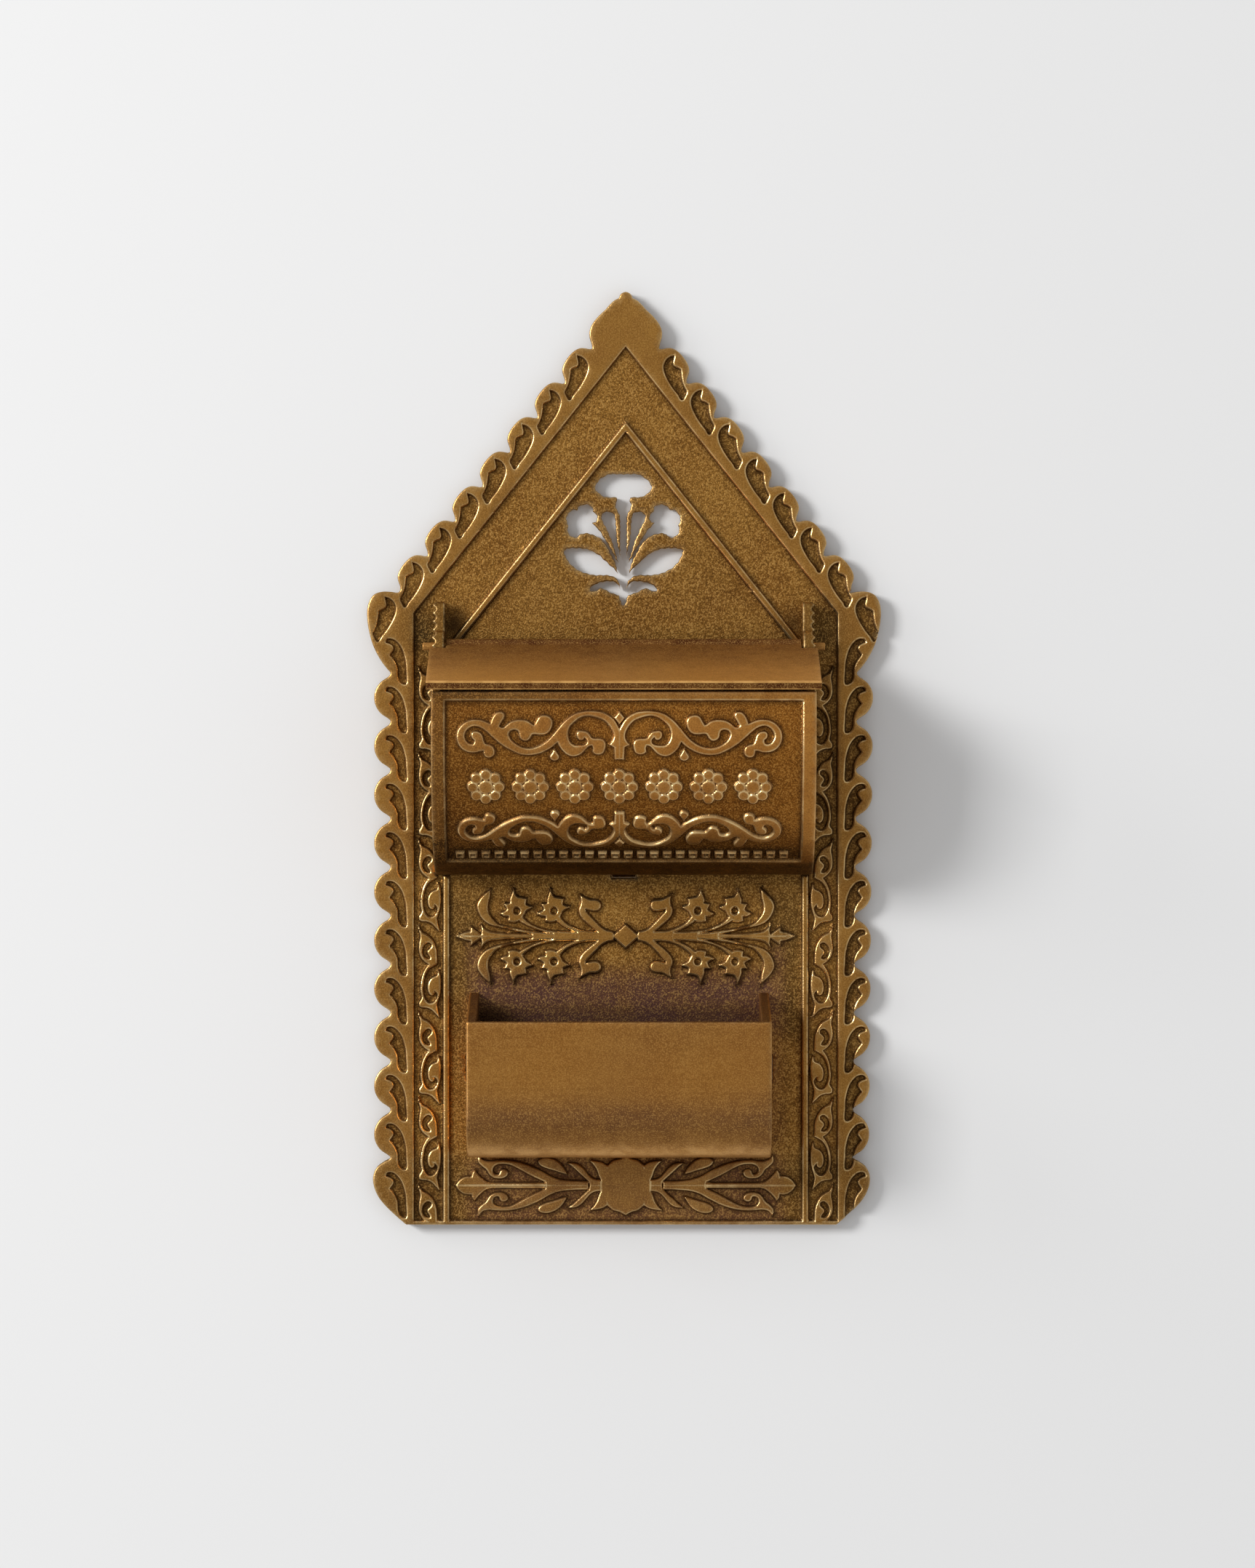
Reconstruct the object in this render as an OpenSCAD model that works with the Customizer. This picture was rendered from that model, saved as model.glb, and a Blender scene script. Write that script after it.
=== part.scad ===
// Wall-hung match holder in cast brass: a gabled wall plate with a scalloped edge,
// a lidded box for a box of matches above, and an open tray for loose matches below.
// X is to the right, Y goes into the wall, Z is up. The origin is on the back face,
// on the centre line, at half the plate's height.

/* [Plate] */
// Thickness of the plate's ground, under the relief
ground_t = 2.0; // [1.6:0.1:2.6]
// Height of the plate's relief above its ground
relief_h = 1.0; // [0.6:0.1:1.4]
// Height of the finial, from its ledge to its tip
finial_h = 12.15; // [11:0.05:14]
// Half width of the finial's foot
finial_half = 7.15; // [6.5:0.05:8]
// Number of scallops along each slope of the gable
gable_count = 7; // [6:1:8]
// Step across from one gable scallop to the next
gable_dx = 5.88; // [5.6:0.01:6.1]
// Step down from one gable scallop to the next
gable_dz = 7.40; // [7:0.01:7.8]
// How far the corner scallop steps out
corner_out = 2.1; // [1.8:0.1:2.4]
// Height of the corner scallop
corner_h = 17.75; // [17:0.05:18.5]
// Number of whole scallops down each side
side_count = 10; // [9:1:11]
// Height of one side scallop
side_pitch = 10.4; // [10:0.1:10.8]
// How far a side scallop stands out past the notches
side_out = 3.5; // [3:0.1:4]
// Height of the rounded foot corner
foot_h = 14.3; // [13.5:0.1:15]
// Half width of the sunk field, to the inner edge of the scalloped border
field_half = 45.4; // [44.6:0.1:45.8]
// Drop from the finial's tip to the field's apex
apex_drop = 11.8; // [11:0.1:13]
// Width of the lip along the plate's bottom edge
lip_h = 0.8; // [0.5:0.1:1.2]
// How much less the right-hand edge stands out than the left-hand one, just under the gable
trim_top = 0.7; // [0:0.1:1]
// How much less it stands out at the foot
trim_foot = 1.9; // [0:0.1:2]

/* [Plate ornament] */
// Drop from the finial's tip to the apex of the chevron rib
chevron_drop = 27.9; // [26:0.1:30]
// Width of the chevron rib
chevron_w = 1.35; // [1:0.05:2]
// Distance from the centre line to the outer edge of the upright rib
rib_x = 39.1; // [38.9:0.1:39.3]
// Width of the upright rib
rib_w = 1.3; // [1:0.1:1.6]
// Drop from the gable's foot to the tip of the topmost turn of the vines
vine_drop = 16.35; // [14:0.05:19]
// Height of one turn of the vines
vine_pitch = 18.49; // [18.3:0.01:19.5]
// Number of turns of each vine, down to the lip that cuts the last one short
vine_count = 7; // [5:1:7]
// Height of the flower spray's middle line above the plate's middle
spray_z = -38.15; // [-38.4:0.05:-37.9]
// Height of the foot ornament's middle line above the plate's bottom edge
foot_band_z = 8.4; // [8.2:0.05:8.5]
// Distance from the centre line to the pierced flower's middle
flower_x = -0.5; // [-1:0.1:1]
// Height of the pierced flower's foot above the plate's middle
flower_z = 32.8; // [32.4:0.1:34]

/* [Box] */
// Width of the box across its front
box_w = 80.4; // [80:0.1:81]
// Depth of the box from the wall to its front face
box_depth = 36; // [35:0.5:38]
// Height of the box's bottom above the plate's middle
box_bottom = -24.9; // [-26:0.1:-24.4]
// Height of the front's top edge above the plate's middle
box_top = 13.8; // [13:0.1:14.4]
// Radius of the round that turns the front under
box_r = 30; // [26:0.5:31]
// Thickness of the box's front, with its relief
box_t = 2.4; // [2.2:0.1:2.8]
// Height of the relief on the box's front
front_relief = 0.8; // [0.5:0.1:1]
// Thickness of each cheek of the box
cheek_t = 2.0; // [1.8:0.1:2.2]
// Distance from the centre line to the middle of the box
box_x = -0.4; // [-0.6:0.1:0.6]
// Width of the plain frame at each side of the front
frame_side = 2.9; // [2.6:0.1:3.2]
// Width of the plain frame along the top of the front
frame_top = 1.9; // [1.6:0.1:2.1]
// Length of the front's sunk panel, measured round the curve
panel_run = 40.6; // [40.4:0.1:41]
// Distance from the middle of the box to the middle of the front's ornament
scroll_x = -0.9; // [-1.2:0.1:1.2]
// Distance between two studs of the row under the ornament
stud_pitch = 2.73; // [2.5:0.01:2.75]
// Number of studs in the row
stud_count = 26; // [15:1:27]
// Distance from the middle of the box to the middle of the row of studs
stud_x = -0.4; // [-0.6:0.1:0.6]

/* [Lid] */
// Distance of the hinge from the wall
hinge_depth = 9; // [8.6:0.1:9.6]
// Height of the hinge above the plate's middle
hinge_z = 23.8; // [23.4:0.1:24.4]
// Radius of the hinge rod
rod_r = 0.85; // [0.7:0.05:1]
// How far the rod stands out past each ear
rod_out = 2.7; // [1:0.1:4]
// Running clearance of the rod in the ears, on the radius
rod_gap = 0.05; // [0.02:0.01:0.1]
// Thickness of the lid
lid_t = 1.8; // [1.5:0.1:2.2]
// Height of the lid's top face above the middle of the rod, square to the lid
lid_lift = 0.9; // [0.5:0.1:1.1]
// How far the lid stands out past the box at each side
lid_side = 1.05; // [0.6:0.05:1.5]
// How far the lid stands out past the front
lid_front = 1.2; // [0.8:0.1:2]
// Radius of the barrel along the lid's rear edge
barrel_r = 1.6; // [1.4:0.1:1.8]
// Radius of the ear round the hinge
ear_r = 3.4; // [3:0.1:3.6]
// Gap between the ear and the edge of the lid in front of it
ear_gap = 0.5; // [0.4:0.1:0.8]
// Gap between the lid's barrel and the ears
barrel_gap = 0.3; // [0.2:0.05:0.5]
// Height of the ear's top above the plate's middle
ear_top = 33.4; // [31:0.1:36]
// Distance of the ear's upper edge from the wall
ear_depth = 7.0; // [6:0.1:7.2]
// Gap under the closed lid at the cheeks
lid_gap = 0.15; // [0.1:0.05:0.3]
// Gap under the closed lid at the front
front_gap = 0.55; // [0.4:0.05:0.8]

/* [Tray] */
// Width of the tray
tray_w = 64.2; // [62:0.1:66]
// Depth of the tray from the wall to its front face
tray_depth = 27; // [24:0.5:30]
// Height of the tray's bottom above the plate's middle
tray_bottom = -84.6; // [-84.9:0.1:-84]
// Height of the front's top edge above the plate's middle
tray_top = -55.5; // [-58:0.1:-54]
// Height of the cheeks' top at the plate, above the plate's middle
tray_cheek_top = -50.3; // [-52:0.1:-50]
// Radius of the round between the tray's front and its bottom
tray_r = 9; // [6:0.5:12]
// Thickness of the tray's walls
tray_t = 2.1; // [1.8:0.1:2.4]
// Distance from the centre line to the middle of the tray
tray_x = -1.4; // [-2:0.1:2]

/* [Tabs] */
// Length of each tab that passes through the plate
tab_l = 5; // [4:0.1:6]
// How far a tab's end lies inside the plate's back face
tab_inset = 0.3; // [0.2:0.1:0.6]
// Gap between a tab and its slot
tab_gap = 0.15; // [0.1:0.05:0.3]
// Extra width of a slot at the side that shows
slot_extra = 0.6; // [0.3:0.1:1]
// Height of the middle of the box cheeks' tabs above the plate's middle
box_tab_z = -4; // [-8:0.5:8]
// Height of the middle of the tray cheeks' tabs above the plate's middle
tray_tab_z = -66.4; // [-70:0.1:-62]

/* [Hidden] */
$fn = 96;
// points that a curve gets between two knots, in the relief and along a cut edge
relief_steps = 1;
edge_steps = 2;
// a little more than nothing, so that a cut runs past a face
eps = 0.2;
// longer than the whole object, for cuts that run right through
far = 400;

plate_t = ground_t + relief_h;
plate_h = finial_h + gable_count * gable_dz + corner_h + side_count * side_pitch + foot_h;
tip_z = plate_h / 2;
foot_z = -plate_h / 2;
ledge_z = tip_z - finial_h;
gable_foot = [finial_half + gable_count * gable_dx, ledge_z - gable_count * gable_dz];
notch_x = gable_foot[0] + corner_out;
side_z = gable_foot[1] - corner_h;
slope = gable_dz / gable_dx;
brass = [0.59, 0.45, 0.22];
dark_brass = [0.49, 0.35, 0.17];

front_d = box_depth - box_r;
front_z = box_bottom + box_r;
reach = norm([box_depth - hinge_depth, hinge_z - box_top]);
lid_tilt = atan2(hinge_z - box_top, box_depth - hinge_depth)
    - asin((lid_t - lid_lift + front_gap) / reach);
lid_l = (box_depth + lid_front - hinge_depth) / cos(lid_tilt);
tongue_l = ear_r + ear_gap;
tongue_w = box_w - 2 * cheek_t - 2 * barrel_gap;
rod_l = box_w + 2 * rod_out;

// A closed curve through knots. It leaves each knot parallel to the line between the
// knot's neighbours, and a knot with a third value is a sharp corner.
function flat(p) = [p[0], p[1]];
function sharp(p) = len(p) > 2;
function unit(v) = v / norm(v);
function ease(p, m, q, n, t) =
    (2*t*t*t - 3*t*t + 1) * p + (t*t*t - 2*t*t + t) * m + (3*t*t - 2*t*t*t) * q + (t*t*t - t*t) * n;
function curve(k, steps) = let (c = len(k)) [
    for (i = [0 : c - 1])
        let (a = flat(k[(i + c - 1) % c]), p = flat(k[i]), q = flat(k[(i + 1) % c]),
            b = flat(k[(i + 2) % c]), span = norm(q - p),
            m = sharp(k[i]) ? q - p : unit(q - a) * span,
            n = sharp(k[(i + 1) % c]) ? q - p : unit(b - p) * span,
            count = sharp(k[i]) && sharp(k[(i + 1) % c]) ? 1 : steps)
        for (s = [0 : count - 1]) ease(p, m, q, n, s / count)
];
function place(k, x, z) = [for (p = k) concat([p[0] + x, p[1] + z], sharp(p) ? [1] : [])];
function stretch(k, x, z) = [for (p = k) concat([p[0] * x, p[1] * z], sharp(p) ? [1] : [])];
function back(k) = [for (i = [len(k) - 1 : -1 : 0]) k[i]];
// the mirror image of a half outline that starts and ends on the centre line, and the two halves
function other_half(k) = back([for (i = [1 : len(k) - 2]) concat([-k[i][0], k[i][1]],
    sharp(k[i]) ? [1] : [])]);
function whole(k) = concat(k, other_half(k));

// Right half of the finial, across and down from its tip, in parts of its foot and height
finial_knots = [[0, 0], [0.13, -0.03], [0.18, -0.07, 1], [0.2, -0.11, 1], [0.35, -0.155],
    [0.5, -0.24], [0.6, -0.31, 1], [0.73, -0.38], [0.84, -0.445], [0.965, -0.535],
    [1.05, -0.625], [1.09, -0.72], [1.08, -0.81], [1.03, -0.9], [1, -1, 1]];
// A gable scallop, across and down from the notch above it, in parts of one step
gable_knots = [[0.09, -0.02], [0.255, 0.005], [0.425, 0.01], [0.6, -0.04], [0.75, -0.135],
    [0.885, -0.255], [1, -0.39], [1.08, -0.53], [1.1, -0.65], [1.055, -0.785],
    [1.01, -0.89], [1, -1, 1]];
// The corner scallop, outwards from the side notches and down, in parts of its height
corner_knots = [[-1.65, -0.03], [0, -0.02], [1.85, -0.02], [3.55, -0.055], [4.55, -0.135],
    [5, -0.24], [4.95, -0.37], [4.55, -0.51], [3.85, -0.65], [2.85, -0.775], [1.65, -0.885],
    [0.6, -0.96], [0, -1]];
// A side scallop, outwards in parts of side_out and down in parts of the pitch
side_knots = [[0.1, -0.07], [0.34, -0.125], [0.6, -0.19], [0.83, -0.29], [0.96, -0.395],
    [1, -0.5], [0.96, -0.625], [0.8, -0.75], [0.57, -0.845], [0.31, -0.905], [0.11, -0.95],
    [0, -1]];
// The foot corner, outwards from the side notches and down in parts of its height
foot_knots = [[1.2, -0.05], [2.9, -0.14], [3.7, -0.27], [3.6, -0.41], [2.7, -0.57],
    [1.3, -0.7], [-0.8, -0.845], [-3, -0.98, 1], [-3.4, -1, 1]];
// The leaf sunk into a gable scallop, from the notch above it
gable_leaf = [[3.3, -1.5, 1], [2.4, -1.75], [1.6, -2.4], [1.1, -3.3], [1, -4.3], [1.3, -5.5],
    [2, -7], [3, -8.6], [4.1, -10], [4.9, -11.1], [5.5, -10.3], [5.9, -9.3], [5.5, -8.5],
    [5.05, -7.4], [4.8, -6.2], [4.65, -4.5, 1], [4, -4.1], [3.2, -3.8], [2.95, -3.2],
    [3.1, -2.3]];
// The leaf sunk into a side scallop, from the notch above it
side_leaf = [[1, -3.9, 1], [0.7, -3.2], [0, -3.05], [-0.8, -3.3], [-1.7, -4.1], [-2.4, -5.2],
    [-2.9, -6.6], [-3.25, -8.3], [-3.35, -10.2], [-3.45, -12], [-3.3, -12.85], [-2.6, -12.8],
    [-1.9, -12.2], [-1.6, -11.2], [-1.5, -9.4], [-0.95, -8], [-0.2, -7], [0.15, -6.6, 1],
    [-0.3, -6], [-0.7, -5.3], [-0.55, -4.7], [-0.1, -4.3], [0.5, -4.05]];
// One turn of a vine and the eye in it, out from the field's edge and down from its tip
vine_turn = [[-0.9, 0, 1], [-1.9, -1.6], [-2.7, -2], [-3.6, -2.7], [-4.4, -4], [-4.85, -5.5],
    [-5, -8.4, 1], [-4.2, -8.8], [-3.3, -9.4], [-2.5, -10.6], [-1.95, -14], [-2.3, -15.6],
    [-3.1, -16.65], [-3.9, -16.7], [-4.6, -16.1], [-4.95, -15.2], [-4.5, -14.1, 1],
    [-3.8, -15.1], [-3.2, -14.6], [-2.95, -13.4], [-3.15, -12.2], [-3.8, -11.3],
    [-4.7, -10.9], [-5.25, -9.5, 1], [-5.6, -11], [-5.7, -13], [-5.6, -14.8],
    [-4.95, -17.1, 1], [-5.3, -19.5, 1], [-3.8, -18.2], [-2.7, -17.75], [-1.1, -17.4, 1],
    [-1.65, -15.7], [-1.4, -14.3], [-1.8, -10.8], [-3, -8.35, 1], [-2.1, -7.7],
    [-1.35, -6.8], [-1.05, -5.5], [-1.3, -2.5]];
vine_eye = [[-3.7, -4.1, 1], [-2.4, -4.1], [-1.9, -5], [-1.85, -6], [-2.25, -6.9],
    [-3.5, -7.2, 1], [-2.9, -6.1], [-2.9, -5.5]];
// The flower spray's upper left quarter: across from the centre and up from its middle line
spray_lozenge = [[0, 2.65, 1], [2.95, 0, 1], [0, -2.65, 1], [-2.95, 0, 1]];
spray_hook = [[2.4, -0.3, 1], [2.6, 0.95, 1], [4.2, 1.35], [5.3, 2.05], [6.3, 3.05], [7.4, 4.2],
    [8.5, 5.4], [8.6, 5.8, 1], [7.6, 5.5], [6.6, 5.35], [5.75, 5.6], [5.3, 6.4], [5.5, 7.4],
    [6.3, 7.8], [7.7, 7.9], [8.8, 8.4], [9.9, 9, 1], [9.6, 7.9], [9.65, 6.9], [10.05, 5.8],
    [9.9, 4.7], [9.2, 3.6], [7.9, 2.4], [6.1, 1, 1], [6.1, -0.3, 1]];
spray_near_stem = [[5.5, -0.3, 1], [5.6, 0.95, 1], [9, 1.2], [11.2, 1.95], [12.8, 2.85], [14.3, 4.5, 1],
    [15.4, 3.7, 1], [13.5, 2.25], [11.8, 1.35], [10.4, 0.85, 1], [10.2, -0.3, 1]];
spray_far_stem = [[9.8, -0.3, 1], [9.9, 0.85, 1], [13.5, 1], [16.5, 1.25], [18.8, 1.9],
    [20.6, 2.8], [22.4, 4.4, 1], [23.4, 3.7, 1], [21.3, 2.4], [19.4, 1.6], [17.5, 1],
    [15.6, 0.6, 1], [15.4, -0.3, 1]];
spray_horn = [[15, -0.3, 1], [15.1, 0.6, 1], [18.5, 0.85], [22, 1.35], [25.5, 2], [27.4, 2.7],
    [28.6, 3.9], [29.4, 5.2], [29.5, 6.6], [29.1, 8.4], [28.95, 10.2, 1], [30, 9.3],
    [31.1, 8.1], [31.85, 6.6], [31.6, 5.2], [30.9, 3.9], [29.8, 2.9], [28.2, 2.2],
    [25.5, 1.65], [22.5, 0.9], [20.1, 0.5, 1], [19.8, -0.3, 1]];
spray_spear = [[19.4, -0.3, 1], [19.5, 0.4, 1], [25, 0.5], [28, 0.8], [29.4, 1.05],
    [30.4, 1.75], [31.15, 2.7, 1], [30.85, 1.5], [31, 0.35, 1], [31.8, 1], [32.5, 1.5],
    [33.25, 2.1, 1], [33.2, 1.05, 1], [34.5, 0.8], [36.3, 0, 1], [30, -0.2, 1]];
// A flower of the spray, from its own middle, and the places of the two in a quarter
spray_flower = [[0.65, 4.8, 1], [0.3, 3.6], [-0.2, 3, 1], [-0.9, 2.9], [-2.15, 2.65, 1],
    [-1.95, 1.8], [-2, 1.35, 1], [-3.45, 0.8, 1], [-1.9, -0.2, 1], [-1.6, -0.9],
    [-0.9, -1.7], [-0.3, -2.3], [0.8, -2.5], [1.9, -2.2, 1], [1.7, -1.2, 1], [2.6, -1.2],
    [3.6, -0.6, 1], [2.1, 0.3, 1], [2.75, 1.5, 1], [1.4, 1.7, 1], [1.5, 2.4], [1.1, 3.6]];
spray_flowers = [[15.4, 5.45], [23.35, 5.45]];
spray_eye_r = 0.75;
// The foot ornament's lower left quarter: across from the centre, down from its middle line
foot_fleur = [[36.5, -0.1, 1], [36.5, 0, 1], [35.9, 0.9], [34.9, 1.7], [33.9, 1.95], [33, 1.9, 1],
    [32.9, 2.7], [32.35, 3.3, 1], [31.7, 2.4], [30.8, 1.5], [29.8, 0.8], [28.8, 0.55, 1],
    [16.8, 0.55, 1], [16.8, -0.1, 1]];
foot_scroll = [[17.3, 0.75, 1], [19, 1.5], [21, 2.5], [23, 3.6], [24.8, 4.4], [26.5, 4.6],
    [27.7, 4.4], [28.4, 3.7], [28.4, 2.9], [27.9, 2.4], [27.2, 2.4], [27, 2.9], [26.6, 3.4],
    [25.8, 3.4], [25.2, 2.9], [25.4, 2.1], [26.2, 1.6], [27.3, 1.5], [28.4, 1.7],
    [29.3, 2.4], [29.9, 3.4], [30.9, 4.2], [31.7, 5.2], [31.5, 6.5, 1], [30.6, 5.5],
    [29.3, 5.2], [27.3, 5.35], [25.3, 5.35], [23, 5], [20.5, 4.2], [18, 3], [16, 1.9],
    [14, 1.25], [11, 0.95], [8, 0.85, 1], [8, -0.2, 1], [17, -0.2, 1]];
foot_leaf_far = [[18.8, 5], [18.3, 4.3], [17, 3.7], [15.3, 3.2], [13.8, 2.7], [12.5, 2.35, 1],
    [13, 3.3], [13.8, 4.4], [14.9, 5.3], [16.3, 5.85], [17.7, 5.9], [18.6, 5.5]];
foot_leaf_mid = [[12.4, 4.8, 1], [11.5, 4.1], [10.2, 2.9], [9, 1.8], [7.9, 0.8, 1],
    [7.7, -0.2, 1], [5.2, -0.2, 1], [5.2, 1.15, 1], [6.6, 1.35], [7.6, 1.9], [8.5, 2.9],
    [9.5, 4], [10.8, 4.7]];
foot_leaf_near = [[7.8, 5.35, 1], [6.9, 4.4], [6.2, 3.3], [5.8, 2.1], [5.3, 1.1, 1], [3.6, 1, 1],
    [3.8, 4.2, 1], [5, 4.9], [6.4, 5.2]];
foot_heart = [[0, 6.4, 1], [1.3, 5.7], [2.7, 5.3], [3.9, 4.3, 1], [5.4, 1.2, 1], [5.4, 0, 1],
    [5.4, -1.2, 1], [3.9, -4.3, 1], [2.7, -5.3], [1.3, -5.7], [0, -6.4, 1]];
// Right half of the pierced flower, across from its middle and up from its foot
flower_knots = [[0, 0], [0.4, 0.4], [0.7, 1.2], [1, 2.1], [1.7, 2.4], [2.9, 2.8], [4, 3.4],
    [4.8, 3.7], [5.6, 3.3], [6.5, 3], [7.2, 3.2], [7, 3.8], [6.1, 4.5], [4.6, 5], [3, 5.2],
    [1.8, 5], [1, 4.3], [0.7, 3.4, 1], [1, 5.1], [1.7, 5.9], [2.8, 6.4], [4.2, 6.5],
    [6, 6.5], [7.8, 6.8], [9.4, 7.4], [10.9, 8.4], [11.9, 9.6], [12.6, 10.9],
    [12.8, 11.7, 1], [11.9, 12.2], [10, 12.3], [8, 12.1], [6.4, 11.5], [5.1, 10.7],
    [3.9, 9.6], [2.7, 8.5], [1.8, 7.7], [1.2, 6.9, 1], [1.7, 8.9], [2.5, 10.6],
    [3.5, 12.5], [4.6, 14], [5.9, 14.9], [7, 15.3], [8.1, 15.5], [9.2, 15.3, 1],
    [9.8, 14.7], [10.7, 14.6], [11.6, 15.2], [12, 16.3], [11.8, 17.2, 1], [12.1, 17.8],
    [12.2, 18.8], [11.7, 19.9], [10.8, 20.5], [9.9, 20.5, 1], [9.5, 21.2], [8.6, 21.6],
    [7.5, 21.6], [6.7, 21.1], [6.5, 20.1, 1], [5.8, 19.6], [5.6, 18.7], [6, 17.9],
    [6.7, 17.7, 1], [6, 17], [5.1, 16], [4.1, 14.4], [3, 12.7], [2.1, 11], [1.05, 9.1, 1],
    [1.9, 11.9], [2.6, 14.2], [3.15, 15.3], [3.7, 16.6], [4.4, 18], [4.7, 19.2], [4.2, 19.9],
    [3.3, 20.1], [2.4, 19.9], [1.9, 19.3], [1.65, 17.3], [1.55, 15.5], [1.35, 13.7],
    [0.95, 11.9], [0.7, 10.4, 1], [0.7, 13.2], [0.7, 17.2], [0.8, 19.2], [1.1, 20],
    [1.6, 21], [1.65, 21.8], [1.35, 22.6], [1.5, 23.2, 1], [2.8, 23.2], [4, 23.3],
    [4.9, 23.8], [5.7, 24.5], [6.1, 25.4], [5.7, 26.3, 1], [5, 27.1], [4.1, 27.7, 1],
    [3, 28.2], [1.5, 28.2], [0, 28.2]];
// Left half of the scrolls on the box's front: across from the pillar's middle and up from
// the ornament's middle line. The lower half is its mirror image.
scroll_knots = [[0, 12.4, 1], [0.4, 13.3], [1.1, 14.4], [2.1, 15.3], [3.5, 16], [5, 16.25],
    [6.5, 16.3], [8, 16.1], [9.5, 15.6], [10.7, 14.8], [11.8, 13.8], [12.8, 12.6],
    [13.8, 11.4], [14.8, 10.3], [16, 9.4], [17.2, 8.8], [18.5, 8.45], [19.8, 8.55], [21, 9],
    [22.2, 9.8], [22.9, 10.7], [23.1, 11.6], [22.7, 12.2], [21.9, 12.4], [21.2, 12.2],
    [20.9, 11.5], [20.8, 10.8], [20.2, 10.2], [19.3, 10.1], [18.6, 10.7], [18.2, 11.4],
    [17.6, 11.5], [16.6, 11.4], [15.4, 11.5], [14.5, 12.2], [14, 13.4], [14.1, 14.5],
    [14.8, 15.2], [16, 15.4], [16.8, 15], [17.4, 14], [17.8, 13.3, 1], [18.3, 13.6],
    [19, 14.1], [20, 14.4], [21.3, 14.4], [22.5, 14.1], [23.5, 13.4], [24.3, 12.8],
    [25.1, 13.1, 1], [24.5, 14.2], [24, 15.2], [24.2, 15.9], [25, 16.1], [25.8, 15.8],
    [26.5, 14.8], [26.9, 13.6, 1], [28.2, 14.2], [29.5, 14.5], [31, 14.4], [32.5, 13.7],
    [33.6, 12.4], [33.95, 10.9], [33.6, 9.4], [32.7, 8.3], [31.4, 7.7], [30, 7.6],
    [29, 7.9], [28.3, 8, 1], [28.3, 7.4], [27.9, 6.7], [27.1, 6.5], [26.2, 7], [26, 7.8],
    [26.3, 8.7], [27.1, 9.2], [27.9, 9.4], [28.3, 10.2], [28.5, 11], [29, 11.7],
    [29.8, 12], [30.6, 11.9], [30.9, 11.3], [30.7, 10.6], [30.2, 10.2, 1], [30.4, 9.4],
    [31.3, 9.4], [32, 10.1], [32.3, 11.1], [32, 12.1], [31.2, 12.9], [30.2, 13.2],
    [29, 12.9], [27.8, 12.1], [26.5, 10.9], [25, 9.6], [23.5, 8.6], [22, 7.8], [20.5, 7.2],
    [18.8, 7.05], [17, 7.3], [15.5, 7.9], [14, 8.8], [12.9, 9.8, 1], [12.3, 8.6],
    [11.3, 7.5], [10, 6.8], [9, 6.85], [8, 7.3], [7.2, 8.1], [6.4, 8.9], [5.7, 9.1, 1],
    [5.5, 8.4], [5.6, 7.8], [5.1, 7.3], [4.3, 7.15], [3.4, 7.5], [3, 8.4], [2.9, 9.4],
    [3.3, 10.2], [4.2, 10.5], [5.2, 10.5], [5.8, 10.7], [6.2, 11.3], [6.8, 11.9],
    [7.6, 12.1], [8.5, 12.1], [8.9, 11.6], [8.8, 10.8], [8.3, 10.3], [7.6, 10.3],
    [7.3, 10.8, 1], [6.8, 10.3], [6.8, 9.6], [7.4, 9.15], [8.5, 9], [9.5, 9.1],
    [10.3, 9.8], [10.7, 10.9], [10.7, 11.9], [10.3, 13.1], [9.3, 14.1], [8, 15],
    [6.3, 15.3], [4.5, 14.9], [3, 14.2], [1.9, 13], [1.25, 11.6], [1.3, 10.4],
    [2.1, 9.2, 1], [1.1, 8.7, 1], [0.95, 6.1, 1], [0, 6.1, 1]];
lozenge_knots = [[0, 16.25, 1], [1.05, 14.85, 1], [0, 13.55, 1], [-1.05, 14.85, 1]];
drop_knots = [[13.5, 8.4, 1], [13, 7.5], [12.55, 6.7], [12.8, 6.1], [13.5, 5.8], [14.2, 6.1],
    [14.5, 6.7], [14.05, 7.5]];
// Half length and half height of the stud, and of the dimple in it
stud_half = [0.88, 1.05];
dimple_half = [0.42, 0.55];
stud_v = 39.9;
// The front's ornament: the run from its top edge to the ornament's middle line, the row
// of rosettes there, and the ring and boss in each
middle_v = 20.4;
rosette_count = 7;
rosette_pitch = 9.3;
rosette_r = 3.9;
petal_count = 8;
petal_r = 1.15;
boss_r = 1.5;

right_edge = concat(
    place(stretch(finial_knots, finial_half, finial_h), 0, tip_z),
    [for (i = [0 : gable_count - 1]) each place(stretch(gable_knots, gable_dx, gable_dz),
        finial_half + i * gable_dx, ledge_z - i * gable_dz)],
    place(stretch(corner_knots, 1, corner_h), notch_x, gable_foot[1]),
    [for (i = [0 : side_count - 1]) each place(stretch(side_knots, side_out, side_pitch),
        notch_x, side_z - i * side_pitch)],
    place(stretch(foot_knots, 1, foot_h), notch_x, side_z - side_count * side_pitch),
    [[0, foot_z, 1]]);
// the same edge trimmed below the gable, as the right-hand one is, evenly more towards its foot
function trim_at(z) = trim_top + (trim_foot - trim_top) * (gable_foot[1] - z) / (gable_foot[1] - foot_z);
trimmed_edge = [for (p = right_edge) concat([p[0] - (p[0] > 0 && p[1] < gable_foot[1] ? trim_at(p[1]) : 0),
    p[1]], sharp(p) ? [1] : [])];

module shape(knots) { polygon(curve(knots, relief_steps)); }
module edge(knots) { polygon(curve(knots, edge_steps)); }
module both() { children(); mirror([1, 0]) children(); }
module four() { both() { children(); mirror([0, 1]) children(); } }
// Flat work drawn across and up, stood upright and given a thickness towards the room
module upright(t, d = 0) { rotate([90, 0, 0]) translate([0, 0, d]) linear_extrude(t) children(); }
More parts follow.
